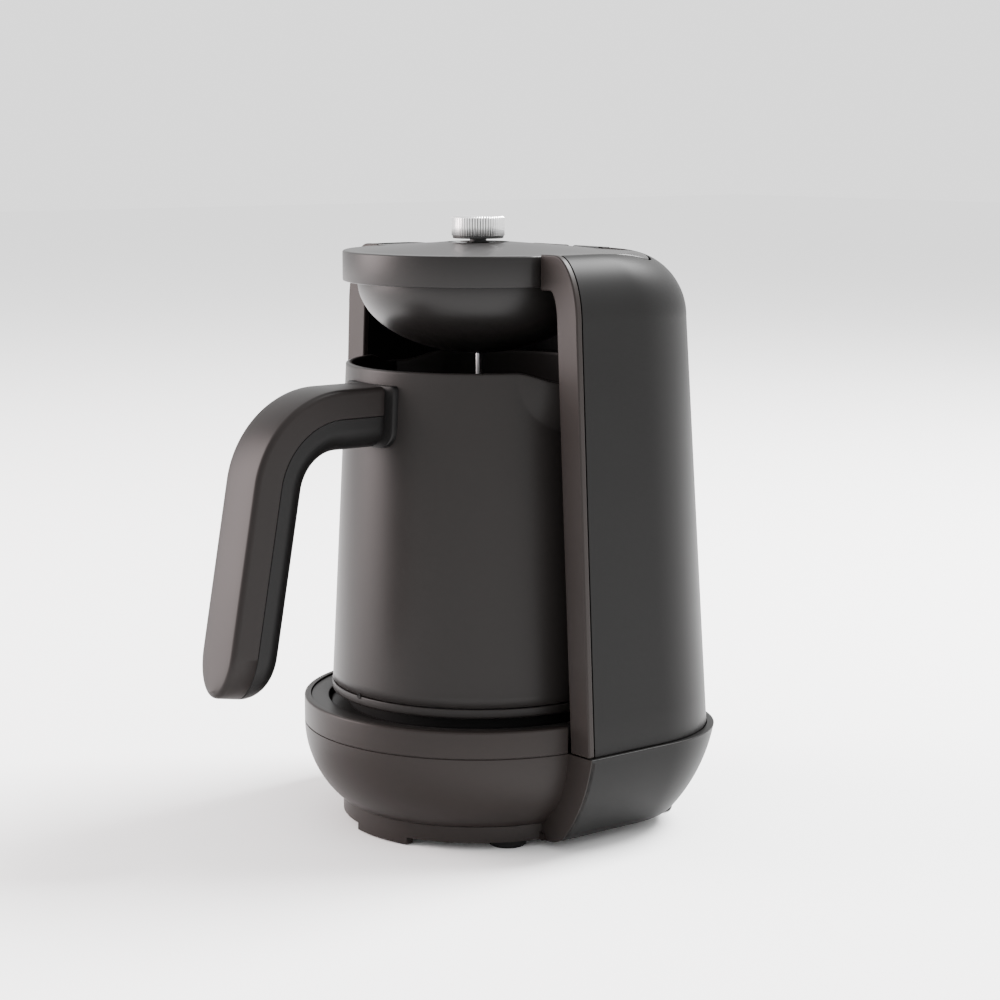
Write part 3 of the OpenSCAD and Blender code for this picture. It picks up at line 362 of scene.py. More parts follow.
def side_curve():
    """Inset and height of the housing's side, from the top edge to the underside."""
    run = DECK_Z - BASE_LOW
    big = run * (1 - TURN_SHARE) / (sin(TURN_SLOPE) - sin(SIDE_SLOPE))
    small = run * TURN_SHARE / (1 - sin(TURN_SLOPE))
    points = []
    for i in range(SIDE_N + 1):
        a = SIDE_SLOPE + (TURN_SLOPE - SIDE_SLOPE) * i / SIDE_N
        points.append((big * (cos(SIDE_SLOPE) - cos(a)),
                       DECK_Z - big * (sin(a) - sin(SIDE_SLOPE))))
    inset, z = points[-1]
    for i in range(1, TURN_N + 1):
        a = TURN_SLOPE + (90 - TURN_SLOPE) * i / TURN_N
        points.append((inset + small * (cos(TURN_SLOPE) - cos(a)),
                       z - small * (sin(a) - sin(TURN_SLOPE))))
    return points


def plan(half_w, front, rear, corner, counts):
    """Open plan outline: right side, rear right corner, rear, left corner, left side."""
    side_n, arc_n, back_n = counts
    right = [(half_w, front + (rear - corner - front) * i / side_n) for i in range(side_n)]
    right += arc(half_w - corner, rear - corner, corner, 0, 90, arc_n)
    back = [((half_w - corner) * (1 - 2 * i / back_n), rear) for i in range(1, back_n)]
    return right + back + [(-x, y) for x, y in reversed(right)]


def loft(name, rings, mat, body, sharp):
    """Open rings of the same length, skinned in order."""
    verts = [p for ring in rings for p in ring]
    return new_piece(name, verts, grid_faces(len(rings), len(rings[0])), mat, body, sharp)


def beside(r):
    """Half width of a circle round the pot's axis, at the front of the frame."""
    return math.sqrt(r * r - FRAME_FRONT ** 2)


def make_housing():
    """Rear half of the base, and the flat band between it and the bowl."""
    curve = side_curve()
    lip = HOUSING_LIP
    under_in = curve[-1][0] + HOUSING_UNDER_IN
    rows = [(lip + HOUSING_TOP_IN, DECK_Z), (lip, DECK_Z)]
    rows += [(lip * (1 - sin(a)), DECK_Z - lip * (1 - cos(a))) for a in (30, 60, 90)]
    rows += [(i, z) for i, z in curve if z < DECK_Z - lip]
    rows += [(under_in, BASE_LOW), (under_in, BASE_LOW + HOUSING_UNDER_UP)]
    rings = [[(x, y, z) for x, y in plan(BASE_HALF_W - inset, FRAME_FRONT + HOUSING_GAP,
                                         BASE_REAR - inset, BASE_CORNER_R - inset,
                                         HOUSING_COUNTS)]
             for inset, z in rows]
    skin = loft("housing_skin", rings, SHADED_BODY, "base", sharp=28)
    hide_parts("base_housing")

    top = DECK_Z - BAND_DROP
    outline = [(beside(PLINTH_R), BASE_LOW), (beside(PLINTH_R), BOWL_LOW)]
    outline += [(beside(r) - BAND_IN, z) for r, z in bowl_curve(0)]
    outline += [(beside(RIM_R) - BAND_IN, top), (BASE_HALF_W - curve[0][0] - BAND_DROP, top)]
    outline += [(BASE_HALF_W - i, z) for i, z in curve[1:]]
    for side, name in ((1, "band_right"), (-1, "band_left")):
        slab(name, [(side * x, z) for x, z in outline], FRAME_FRONT, FRAME_FRONT + BAND_T,
             LIT_BODY, "base", ease=BAND_EASE)


def make_feet():
    """Four round feet, named by right or left and front or back."""
    profile = rounded([(CENTRE_R, 0, 0), (FOOT_R, 0, FOOT_LOW_ROUND),
                       (FOOT_R, FOOT_H, FOOT_TOP_ROUND), (CENTRE_R, FOOT_H, 0)], 6)
    for x, across in ((FOOT_X, "r"), (-FOOT_X, "l")):
        for y, along in zip(FOOT_YS, "fb"):
            lathe("foot_" + across + along, profile, RUBBER, "base", "feet",
                  steps=64, closed=False, cx=x, cy=y)


TRAY_T, LINER_T, SEAT_W, CONNECTOR_EDGE = 2.0, 2.2, 7.0, 8.0
LEDGE_GAP, LEDGE_DROP, LEDGE_SLOPE = 1.2, 0.3, 0.6
TRAY_FLOOR_ROUND, LEDGE_ROUND, TRAY_RIM_ROUND = 1.0, 0.6, 0.05
SEAT_FOOT_ROUND, SEAT_TOP_ROUND = 0.01, 0.8


def make_well():
    """Tray round the pot's foot, with a flat ledge inside the rim, and the ring under the pot."""
    floor, seat_top = span("seat_ring", 2)
    seat_r = span("seat_ring", 0)[1]
    top = span("well_tray", 2)[1]
    r = span("well_tray", 0)[1]
    liner_back = span("inner_liner", 1)[1] - AXIS_Y - LINER_T
    neck = span("base_connector", 0)[1] - CONNECTOR_EDGE
    ledge = POT_LOW_R + LEDGE_GAP
    tray = rounded([(neck, floor, 0), (ledge - LEDGE_SLOPE, floor, TRAY_FLOOR_ROUND),
                    (ledge, top - LEDGE_DROP, LEDGE_ROUND), (r, top, TRAY_RIM_ROUND),
                    (r, floor - TRAY_T, 0), (neck, floor - TRAY_T, 0)], 5)
    lathe("well_skin", tray, TRAY, "base", "well_tray", rear=liner_back)
    seat_in = seat_r - SEAT_W
    seat = rounded([(seat_in, floor, 0), (seat_r, floor, SEAT_FOOT_ROUND),
                    (seat_r, seat_top, SEAT_TOP_ROUND), (seat_in, seat_top, SEAT_TOP_ROUND),
                    (seat_in, floor, 0)], 4)[:-1]
    lathe("seat_skin", seat, RUBBER, "base", "seat_ring")


# ------------------------------------------------------------------ column

SHOULDER_H, SHOULDER_W, SHOULDER_D = 24.0, 12.5, 26.0
SHOULDER_Z = COLUMN_TOP - SHOULDER_H
# millimetres in per millimetre up
SIDE_LEAN, REAR_LEAN, ARCH_LEAN = 0.0527, 0.0348, 0.0572
COLUMN_CORNER_R, CORNER_SHRINK = 45.0, 10.0
LID_GAP, LID_REAR_GAP, LID_CORNER_R = 0.6, 0.8, 10.0
NECK_HALF_W = 47.0
HEAD_GAP = 1.0
ARCH_TOP = HEAD_LOW - HEAD_GAP
ARCH_ROUND_W, ARCH_ROUND_H = 3.9, 12.0
FRAME_EASE, FRAME_BACK_IN, NECK_CLEAR = 0.6, 0.2, 0.1
OUTER_LEVELS, ARCH_LEVELS = (80, 130), (140, 90)


def column_w(z):
    """Half width of the column."""
    return COLUMN_LOW_W - SIDE_LEAN * (z - COLUMN_LOW)


def column_rear(z):
    """How far back the column reaches."""
    return COLUMN_LOW_REAR - REAR_LEAN * (z - COLUMN_LOW)


def arch_w(z):
    """Half width of the opening for the pot."""
    return RIM_R + ARCH_LEAN * (RIM_Z - z)


COLUMN_HALF_W = column_w(SHOULDER_Z)
COLUMN_REAR = column_rear(SHOULDER_Z)
# points along the side, the corner and the rear of the column's plan
COLUMN_COUNTS = (14, 28, 44)
# the column's lower edge: height, inset
COLUMN_FOOT = ((0.0, 0.5), (0.0, 0.15), (0.4, 0.0))
COLUMN_STEPS, SHOULDER_STEPS = 12, 30
HALVINGS = 24
NOTCH_GAP = 0.3
# the slot's edge: how far outside the slot the shoulder ends, then growth and drop
SLOT_EDGE, SLOT_PULL = 0.45, 4
SLOT_WALL = ((0.15, 0.12), (0.0, 0.45), (0.0, 3.5))


def make_frame():
    """Both legs of the bezel, each with its half of the arch over the pot."""
    neck = NECK_HALF_W + LID_GAP - NECK_CLEAR
    outline = [(column_w(z), z) for z in (COLUMN_LOW, *OUTER_LEVELS, SHOULDER_Z)]
    outline += [(COLUMN_HALF_W - SHOULDER_W * (1 - cos(a)), SHOULDER_Z + SHOULDER_H * sin(a))
                for a in range(5, 91, 5)]
    outline += [(neck, COLUMN_TOP), (neck, ARCH_TOP)]
    arch_z = ARCH_TOP - ARCH_ROUND_H
    outline += [(arch_w(arch_z) - ARCH_ROUND_W * (1 - cos(a)), arch_z + ARCH_ROUND_H * sin(a))
                for a in range(90, -1, -10)]
    outline += [(arch_w(z), z) for z in (*ARCH_LEVELS, COLUMN_LOW)]
    for side, name in ((1, "frame_right"), (-1, "frame_left")):
        piece = slab(name, [(side * x, z) for x, z in outline], FRAME_FRONT,
                     FRAME_BACK - FRAME_BACK_IN, LIT_BODY, "base",
                     ease=FRAME_EASE, segments=4)
        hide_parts("front_frame")


def shoulder_ring(k):
    """Plan of the shoulder where it has drawn in by the share k."""
    return plan(COLUMN_HALF_W - SHOULDER_W * k, FRAME_BACK, COLUMN_REAR - SHOULDER_D * k,
                COLUMN_CORNER_R - CORNER_SHRINK * k, COLUMN_COUNTS)


def shoulder_share(x, y):
    """The largest k for which a point is still inside the shoulder's plan."""
    x = abs(x)

    def inside(k):
        """Whether the point lies in the plan drawn in by k."""
        half_w = COLUMN_HALF_W - SHOULDER_W * k
        rear = COLUMN_REAR - SHOULDER_D * k
        corner = COLUMN_CORNER_R - CORNER_SHRINK * k
        if x > half_w - corner and y > rear - corner:
            return math.hypot(x - half_w + corner, y - rear + corner) <= corner
        return x <= half_w and y <= rear

    low, high = 0.0, 1.0
    if inside(high):
        return high
    for _ in range(HALVINGS):
        middle = (low + high) / 2
        low, high = (middle, high) if inside(middle) else (low, middle)
    return low


def shoulder_z(x, y):
    """Height of the column's rounded top over a point."""
    return SHOULDER_Z + SHOULDER_H * math.sqrt(max(0.0, 1 - (1 - shoulder_share(x, y)) ** 2))


def slot_ring(grow):
    """Plan of the slot for the lid, with the notch for the hinge at its rear."""
    notch_w = span("hinge_pin", 0)[1] + LID_GAP
    notch_y = span("hinge_bracket", 1)[1] - AXIS_Y + NOTCH_GAP
    points = plan(LID_HALF_W + LID_GAP + grow, FRAME_BACK, LID_REAR + LID_REAR_GAP + grow,
                  LID_CORNER_R + LID_GAP + grow, COLUMN_COUNTS)
    side_n, arc_n, back_n = COLUMN_COUNTS
    start = side_n + arc_n
    end = start + back_n
    return [(x, notch_y + grow if start < i < end and abs(x) < notch_w else y)
            for i, (x, y) in enumerate(points)]


def make_rear_shell():
    """The column's wall, its rounded shoulder and the slot for the lid."""
    levels = [(COLUMN_LOW + up, inset) for up, inset in COLUMN_FOOT]
    levels += [(COLUMN_LOW + (SHOULDER_Z - COLUMN_LOW) * t / COLUMN_STEPS, 0)
               for t in range(1, COLUMN_STEPS + 1)]
    rings = []
    for z, inset in levels:
        ring = plan(column_w(z) - inset, FRAME_BACK, column_rear(z) - inset,
                    COLUMN_CORNER_R - inset, COLUMN_COUNTS)
        rings.append([(x, y, z) for x, y in ring])
    # over the shoulder each point runs to its place on the slot's edge
    edge = slot_ring(SLOT_EDGE)
    shares = [shoulder_share(x, y) for x, y in edge]
    for i in range(1, SHOULDER_STEPS + 1):
        t = i / SHOULDER_STEPS
        ring = []
        for j, (x, y) in enumerate(edge):
            k = shares[j] * (1 - cos(90 * t))
            px, py = shoulder_ring(k)[j]
            pull = t ** SLOT_PULL
            px, py = px + (x - px) * pull, py + (y - py) * pull
            ring.append((px, py, shoulder_z(px, py)))
        rings.append(ring)
    for grow, drop in SLOT_WALL:
        rings.append([(x, y, shoulder_z(x, y) - drop) for x, y in slot_ring(grow)])
    piece = loft("rear_skin", rings, SHADED_BODY, "base", sharp=30)
    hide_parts("rear_shell")


# ------------------------------------------------------------------ head

CONE_RISE, CONE_INSET, CONE_TOP_W = 2.8, 5.6, 2.0
# radius of the cone's foot and of its top, which is flat round the knob
CONE_R0 = HEAD_R - CONE_INSET
CONE_R1 = KNOB_R + CONE_TOP_W
HEAD_TOP = HEAD_PEAK - CONE_RISE
LID_FRONT = FRAME_BACK + LID_GAP
# the disc's lower edge: inset, height
HEAD_UNDER = ((0.5, 0.0), (0.15, 0.15))
HEAD_UNDER_EASE, HEAD_FILLET, HEAD_SIDE_DROP = 0.5, 0.7, 3.0
# where rings lie between the disc's edge and the cone's top; closer over the cone's foot
CONE_RINGS = (0, 0.02, 0.06, 0.09, 0.11, 0.13, 0.16, 0.2, 0.3, 0.42, 0.55, 0.7, 0.85, 1)
# the dip round the knob's stem
DIP_EDGE, DIP_WALL, DIP_DEPTH, STEM_HOLE_R = 0.3, 0.9, 0.9, 4.1


def head_outline():
    """Closed outline, counter-clockwise from the front right of the neck."""
    y0 = -math.sqrt(HEAD_R ** 2 - NECK_HALF_W ** 2)
    a0 = math.degrees(math.atan2(y0, NECK_HALF_W))
    right = [(NECK_HALF_W, y0 + (LID_FRONT - y0) * i / 3) for i in range(4)]
    right += [(NECK_HALF_W + (LID_HALF_W - NECK_HALF_W) * i / 4, LID_FRONT)
              for i in range(1, 5)]
    right += [(LID_HALF_W, LID_FRONT + (LID_REAR - LID_CORNER_R - LID_FRONT) * i / 12)
              for i in range(1, 12)]
    right += arc(LID_HALF_W - LID_CORNER_R, LID_REAR - LID_CORNER_R, LID_CORNER_R, 0, 90, 14)
    right += [((LID_HALF_W - LID_CORNER_R) * (1 - i / 20), LID_REAR) for i in range(1, 20)]
    left = [(-x, y) for x, y in reversed(right)]
    front = arc(0, 0, HEAD_R, 180 - a0, 360 + a0, 96)[1:-1]
    return right + [(0, LID_REAR)] + left + front


def on_circle(points, r):
    """Points moved straight to or from the pot's axis, onto a circle round it."""
    return [(x * r / math.hypot(x, y), y * r / math.hypot(x, y)) for x, y in points]


def inset_outline(points, d):
    """The outline moved inwards by d at each of its points."""
    out = []
    n = len(points)
    for i in range(n):
        p0, p, p1 = Vector(points[i - 1]), Vector(points[i]), Vector(points[(i + 1) % n])
        e0, e1 = (p - p0).normalized(), (p1 - p).normalized()
        n0, n1 = Vector((-e0.y, e0.x)), Vector((-e1.y, e1.x))
        m = (n0 + n1).normalized()
        out.append(tuple(p + m * d / max(0.5, m.dot(n0))))
    return out


def head_z(x, y):
    """The head's top: a low cone, which follows the column's shoulder at the rear."""
    r = math.hypot(x, y)
    t = min(1.0, max(0.0, (CONE_R0 - r) / (CONE_R0 - CONE_R1)))
    z = HEAD_TOP + CONE_RISE * t
    if shoulder_share(x, y) < 1:
        z = min(z, shoulder_z(x, y))
    return z


def make_head():
    """Disc and lid in one: underside, side, rounded edge, cone and the dip round the stem."""
    outline = head_outline()
    rings = [[(x, min(y, DOME_REAR), HEAD_LOW) for x, y in on_circle(outline, DOME_R)]]
    rings += [[(x, y, HEAD_LOW + up) for x, y in inset_outline(outline, inset)]
              for inset, up in HEAD_UNDER]
    rings.append([(x, y, HEAD_LOW + HEAD_UNDER_EASE) for x, y in outline])
    rings.append([(x, y, head_z(x, y) - HEAD_SIDE_DROP) for x, y in outline])
    for a in (0, 22.5, 45, 67.5):
        ring = inset_outline(outline, HEAD_FILLET * (1 - cos(a)))
        rings.append([(x, y, head_z(x, y) - HEAD_FILLET * (1 - sin(a))) for x, y in ring])
    edge = inset_outline(outline, HEAD_FILLET)
    for t in CONE_RINGS:
        ring = []
        for x, y in edge:
            r = math.hypot(x, y)
            q = 1 + (CONE_R1 / r - 1) * t
            ring.append((x * q, y * q, head_z(x * q, y * q)))
        rings.append(ring)
    for r, z in ((CONE_R1 - DIP_EDGE, HEAD_PEAK), (CONE_R1 - DIP_WALL, HEAD_PEAK - DIP_DEPTH),
                 (STEM_HOLE_R, HEAD_PEAK - DIP_DEPTH)):
        rings.append([(x, y, z) for x, y in on_circle(outline, r)])
    verts = [p for ring in rings for p in ring]
    piece = new_piece("head_skin", verts, grid_faces(len(rings), len(outline), wrap=True),
                      HEAD, "head", sharp=32)
    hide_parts("head_cover")


DOME_R = span("dome", 0)[1]
DOME_H, DOME_FLAT_R, DOME_FLAT_ROUND, DOME_STEPS = 26.0, 9.0, 1.5, 40
DOME_TOP_IN, DOME_GAP, DOME_REAR_IN = 0.3, 0.1, 0.8
DOME_REAR = LID_REAR - DOME_REAR_IN
SEAL_R, SEAL_UP = 3.3, 2.0


def make_dome():
    """Bowl under the disc, down to the flat round the whisk's seal."""
    def dome_z(a):
        """Height of the dome's side at an angle under its top."""
        return HEAD_LOW - DOME_GAP - (DOME_H - DOME_GAP) * sin(a)

    end = math.degrees(math.acos(DOME_FLAT_R / DOME_R))
    low = dome_z(end)
    profile = [(DOME_R - DOME_TOP_IN, HEAD_LOW)]
    profile += [(DOME_R * cos(end * i / DOME_STEPS), dome_z(end * i / DOME_STEPS))
                for i in range(DOME_STEPS)]
    profile += rounded([profile[-1] + (0,), (DOME_FLAT_R, low, DOME_FLAT_ROUND),
                        (SEAL_R, low, 0)], 5)[1:]
    profile.append((SEAL_R, low + SEAL_UP))
    lathe("dome_skin", profile, HEAD, "head", "dome", closed=False, sharp=40,
          rear=DOME_REAR)


RIBS, RIB_DEPTH, RIB_POINTS, RIB_WIDTH = 60, 0.5, 6, 0.75
# inset from the ground of the ribs, height over the knob's foot, share of the ribs' depth
KNOB_FOOT = ((0.6, 0.9, 0), (0.0, 0.9, 0.6), (0.0, 1.1, 1))
# the same with the depth under the knob's top: end of the ribs, rounded edge, dished face
KNOB_CAP = ((0.0, 0.75, 1), (0.05, 0.45, 0.6), (0.25, 0.15, 0.25), (0.6, 0.0, 0),
            (1.0, 0.02, 0), (1.4, 0.16, 0), (4.0, 0.24, 0))
KNOB_DISH = 0.26
GROUND_T, GROUND_OUT, GROUND_EASE, GROUND_LOW_IN = 1.5, 0.12, 0.3, 0.1


def make_knob():
    """Ribbed side, plain rims, a slightly dished top, and a near-black core between the ribs and
    under them, painted shade for the dark grooves and the gap at the knob's foot.
    """
    low, top = KNOB_LOW, KNOB_TOP
    core = KNOB_R - RIB_DEPTH
    steps = RIBS * RIB_POINTS
    rows = [(core - inset, low + up, rib) for inset, up, rib in KNOB_FOOT]
    rows += [(core - inset, top - down, rib) for inset, down, rib in KNOB_CAP]
    rows.append((CENTRE_R, top - KNOB_DISH, 0))
    verts = []
    for r, z, rib in rows:
        for j in range(steps):
            wave = min(1.0, RIB_WIDTH + RIB_WIDTH * cos(360 * RIBS * j / steps))
            q = r + RIB_DEPTH * rib * wave
            verts.append((q * cos(360 * j / steps), q * sin(360 * j / steps), z))
    piece = new_piece("knob_skin", verts, grid_faces(len(rows), steps, wrap=True), PLATED,
                      "knob", sharp=50)
    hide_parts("knob")
    # the core reaches down below the ribs to the knob's foot, where it shows as a painted dark
    # band of shade
    ribs_top = top - KNOB_CAP[0][1]
    ground = [(core - GROUND_T, low), (core - GROUND_LOW_IN, low),
              (core + GROUND_OUT, low + GROUND_EASE), (core + GROUND_OUT, ribs_top),
              (core - GROUND_T, ribs_top)]
    lathe("knob_core_shade_skin", ground, KNOB_GROOVE_SHADE, "knob", "knob")


# ------------------------------------------------------------------ pot

POT_TAPER, POT_WALL = 6.1, 2.4
POT_RIM_R = POT_LOW_R - POT_TAPER
POT_LEAN = POT_TAPER / (POT_TOP - POT_FOOT_Z)
SPOUT_ANGLE, SPOUT_H, SPOUT_DIP, SPOUT_CREASE = 22.2, 20.5, 3.6, 5.0
SPOUT_BLEND, CREASE_RUN = 1.15, 0.01
RIM_ROUND = 0.6
POT_STEPS = 540
# how far up the wall its rings lie, closer under the rim
WALL_LEVELS = [i / 30 for i in range(1, 24)] + [0.8 + 0.2 * i / 40 for i in range(41)]
# the wall's lower edge: inset, height
POT_FOOT_EASE = ((0.25, 0.0), (0.0, 0.25))
RING_IN_R, RING_H, RING_LEDGE, RING_OVER = 46.0, 3.4, 1.4, 0.45


def pot_r(z):
    """Outer radius of the pot, away from its spouts."""
    return POT_RIM_R + POT_LEAN * (POT_TOP - z)


def smooth(t):
    """A step from 0 to 1 with level ends."""
    t = min(1.0, max(0.0, t))
    return t * t * (3 - 2 * t)


def fold(a):
    """Angle from the nearer spout's middle."""
    a = a % 180
    return min(a, 180 - a)


def pot_point(a, z, off):
    """A point of the pot's wall: two flat sides meet in a V at each spout."""
    down = (POT_TOP - z) / SPOUT_H
    reach = SPOUT_ANGLE * math.sqrt(max(0.0, 1 - down * down))
    turn = max(0.0, reach - fold(a))
    crease = SPOUT_CREASE * min(1.0, turn / CREASE_RUN)
    r = (pot_r(z) - off) * cos(crease) / cos(turn + crease)
    return (r * cos(a), r * sin(a), z)


def rim_height(a):
    """Height of the rim, which dips at both spouts."""
    return POT_TOP - SPOUT_DIP * smooth(SPOUT_BLEND * (1 - fold(a) / SPOUT_ANGLE))


def make_pot():
    """Wall with two spouts, rounded rim, inside down to the floor, and the ring at the foot."""
    angles = [360 * j / POT_STEPS for j in range(POT_STEPS)]
    rows = [[pot_point(a, POT_LOW + up, off) for a in angles] for off, up in POT_FOOT_EASE]
    rows += [[pot_point(a, POT_LOW + (rim_height(a) - RIM_ROUND - POT_LOW) * t, 0)
              for a in angles] for t in WALL_LEVELS]
    edge = POT_WALL / 2
    for k in range(0, 181, 15):
        rows.append([pot_point(a, rim_height(a) - RIM_ROUND * (1 - sin(k)), edge - edge * cos(k))
                     for a in angles])
    floor = span("pot_floor", 2)[1]
    rows += [[pot_point(a, floor + (rim_height(a) - RIM_ROUND - floor) * t, POT_WALL)
              for a in angles] for t in WALL_LEVELS[::-2] + [0]]
    verts = [p for row in rows for p in row]
    piece = new_piece("pot_skin", verts, grid_faces(len(rows), POT_STEPS, wrap=True), POT,
                      "pot", sharp=60)
    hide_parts("pot_body")
    top = POT_FOOT_Z + RING_H
    ledge = POT_LOW_R - RING_LEDGE
    ring = rounded([(RING_IN_R, POT_FOOT_Z + 1, 0), (RING_IN_R, POT_FOOT_Z, 0.3),
                    (POT_LOW_R, POT_FOOT_Z, 0.9), (POT_LOW_R, top, 0.3), (ledge, top, 0.1),
                    (ledge, top + RING_OVER, 0), (RING_IN_R, top + RING_OVER, 0)], 5)
    lathe("pot_ring_skin", ring, POT, "pot", "pot_base_ring", sharp=40)


VENT_Z, VENT_PROUD, VENT_STEPS = 3.45, 0.25, 24
# radius of the disc's rings, and how far each lies behind its front
VENT_RINGS = ((1.0, 0.02), (0.75, 0.0), (0.6, 0.1), (CENTRE_R, 0.1))


def make_vent():
    """A small dished near-black disc, painted shade for the drain hole, proud of the foot ring's
    top under the handle.
    """
    verts = []
    for r, deep in VENT_RINGS:
        for j in range(VENT_STEPS):
            a = 360 * j / VENT_STEPS
            x, up = r * cos(a), r * sin(a)
            y = -math.sqrt((POT_LOW_R + VENT_PROUD - deep) ** 2 - x * x)
            verts.append((x, y, POT_FOOT_Z + VENT_Z + up))
    new_piece("pot_vent", verts, grid_faces(len(VENT_RINGS), VENT_STEPS, wrap=True), INSIDE_SHADE,
              "pot")


# ------------------------------------------------------------------ handle

BEND_Y, BEND_Z, GRIP_LEAN, GRIP_LEN = 66.0, 126.3, 10.4, 73.7
BEND_OUT_R, BEND_IN_R, PART_R = 36.8, 15.0, 26.4
FRONT_EDGE_R, INNER_EDGE_R, HEEL_R = 2.0, 8.0, 11.4
# length of the grip's rounded end, in half widths
TONGUE = 1.6
SEAM = 0.15
# at the seam: distance from it, inset of the side
SEAM_ROWS = ((0.0, 0.35), (0.0, 0.12), (0.15, 0.0))
CROWN, CROWN_COLUMNS = 0.25, (0.7, 0.35, 0.0, -0.35, -0.7)
SIDE_IN, FACE_IN = 0.02, 0.05
ROOT_OUT = 1.2
ROOT_N, BEND_N, STRAIGHT_N, END_N, INNER_N = 6, 44, 24, 16, 28
BEND_TURN = 90 - GRIP_LEAN


def grip_layer(r, half_w, end):
    """Right half of a grip's outline at radius r: root, bend, grip and round end."""
    points = []
    z = BEND_Z + r
    root = -math.sqrt((pot_r(z) + ROOT_OUT) ** 2 - half_w ** 2)
    for i in range(ROOT_N):
        points.append((half_w, root + (-BEND_Y - root) * i / ROOT_N, z))
    for i in range(BEND_N + 1):
        a = 90 + BEND_TURN * i / BEND_N
        points.append((half_w, -BEND_Y + r * cos(a), BEND_Z + r * sin(a)))
    y0, z0 = points[-1][1:]
    down = (-sin(GRIP_LEAN), -cos(GRIP_LEAN))
    straight = end - TONGUE * half_w
    for i in range(1, STRAIGHT_N + 1):
        t = straight * i / STRAIGHT_N
        points.append((half_w, y0 + t * down[0], z0 + t * down[1]))
    for i in range(1, END_N + 1):
        a = 90 * i / END_N
        t = straight + TONGUE * half_w * sin(a)
        points.append((half_w * cos(a), y0 + t * down[0], z0 + t * down[1]))
    return points


def toward_centre(point, depth):
    """A point of the grip moved by depth towards the inside of the bend."""
    x, y, z = point
    if y > -BEND_Y:
        return (x, y, z - depth)
    turn = min(BEND_TURN, -math.degrees(math.atan2(y + BEND_Y, z - BEND_Z)))
    return (x, y + depth * sin(turn), z - depth * cos(turn))


def make_grip(name, layers, mat, node, crown):
    """Layers (radius, half width, end) skinned, with a crowned face over the last."""
    sides = [grip_layer(*layer) for layer in layers]
    n = len(sides[0])
    verts, loops = [], []
    for points in sides:
        start = len(verts)
        verts += points + [(-x, y, z) for x, y, z in points]
        loops.append(start)
    faces = []
    for a, b in zip(loops, loops[1:]):
        for side in (0, n):
            for i in range(n - 1):
                faces.append((a + side + i, a + side + i + 1, b + side + i + 1, b + side + i))
        faces.append((a, b, b + n, a + n))
    for loop, points, arch in ((loops[0], sides[0], 0.0), (loops[-1], sides[-1], crown)):
        previous = loop
        for c in CROWN_COLUMNS:
            start = len(verts)
            for x, y, z in points:
                verts.append(toward_centre((x * c, y, z), -arch * (1 - c * c)))
            faces += [(previous + i, previous + i + 1, start + i + 1, start + i)
                      for i in range(n - 1)]
            previous = start
        faces += [(previous + i, previous + i + 1, loop + n + i + 1, loop + n + i)
                  for i in range(n - 1)]
    piece = new_piece(name, verts, faces, mat, "pot", sharp=38)
    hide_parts(node)


def outer_layers():
    """From the seam out to the front face."""
    r, w, end = PART_R + SEAM / 2, GRIP_HALF_W - SIDE_IN, GRIP_LEN - SIDE_IN
    layers = [(r + away, w - inset, end - inset) for away, inset in SEAM_ROWS]
    face = BEND_OUT_R - FACE_IN - CROWN
    for a in range(0, 91, 15):
        inset = FRONT_EDGE_R * (1 - cos(a))
        layers.append((face - FRONT_EDGE_R * (1 - sin(a)), w - inset, end - inset))
    return layers


def inner_layers():
    """From the seam in to the narrow inner face."""
    r, w, end = PART_R - SEAM / 2, GRIP_HALF_W - SIDE_IN, GRIP_LEN - SIDE_IN
    layers = [(r - away, w - inset, end - inset) for away, inset in SEAM_ROWS]
    for i in range(1, INNER_N + 1):
        depth = (PART_R - BEND_IN_R) * sin(90 * i / INNER_N)
        over = max(0.0, depth - (PART_R - BEND_IN_R - INNER_EDGE_R))
        inset = INNER_EDGE_R - math.sqrt(max(0.0, INNER_EDGE_R ** 2 - over ** 2))
        heel = HEEL_R - math.sqrt(max(0.0, HEEL_R ** 2 - depth ** 2))
        layers.append((PART_R - depth, w - inset, end - heel))
    return layers


COLLAR_T, COLLAR_EASE = 2.0, 0.4
COLLAR_TOP_R, COLLAR_LOW_R = 1.5, 6.0
COLLAR_MESH, COLLAR_ROWS = 1.5, (0.3, 0.6, 0.85, 1)


def make_collar():
    """Plate against the pot's wall, with its edges eased."""
    low, high = span("handle_bracket", 2)
    half_w = span("handle_bracket", 0)[1]
    mid_z, half_h = (low + high) / 2, (high - low) / 2
    outline = rounded([(0, half_h, 0), (half_w, half_h, COLLAR_TOP_R),
                       (half_w, -half_h, COLLAR_LOW_R), (-half_w, -half_h, COLLAR_LOW_R),
                       (-half_w, half_h, COLLAR_TOP_R), (0, half_h, 0)], 8)[:-1]
    dense = []
    for i, p in enumerate(outline):
        q = outline[(i + 1) % len(outline)]
        cuts = max(1, int(math.dist(p, q) / COLLAR_MESH))
        dense += [(p[0] + (q[0] - p[0]) * k / cuts, p[1] + (q[1] - p[1]) * k / cuts)
                  for k in range(cuts)]
    rows = [(0.0, 0.0), (COLLAR_T - COLLAR_EASE, 0.0)]
    rows += [(COLLAR_T - COLLAR_EASE * (1 - sin(a)), COLLAR_EASE * (1 - cos(a)))
             for a in (30, 60, 90)]
    rows += [(COLLAR_T, COLLAR_EASE + (half_w - COLLAR_EASE) * t) for t in COLLAR_ROWS]
    verts = []
    for out, shrink in rows:
        k = max(1e-4, 1 - shrink / half_w)
        for x, z in dense:
            r = pot_r(mid_z + z * k) + out
            verts.append((x * k, -math.sqrt(r * r - (x * k) ** 2), mid_z + z * k))
    piece = new_piece("collar_skin", verts, grid_faces(len(rows), len(dense), wrap=True),
                      GRIP_DARK, "pot", sharp=45)
    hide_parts("handle_bracket")


# ------------------------------------------------------------------ other nodes

def paint(mat, *names):
    """One material on whole CAD nodes."""
    for name in names:
        node = NODES[name]
        if not node.material_slots:
            node.data.materials.append(mat)
        for slot in node.material_slots:
            slot.material = mat


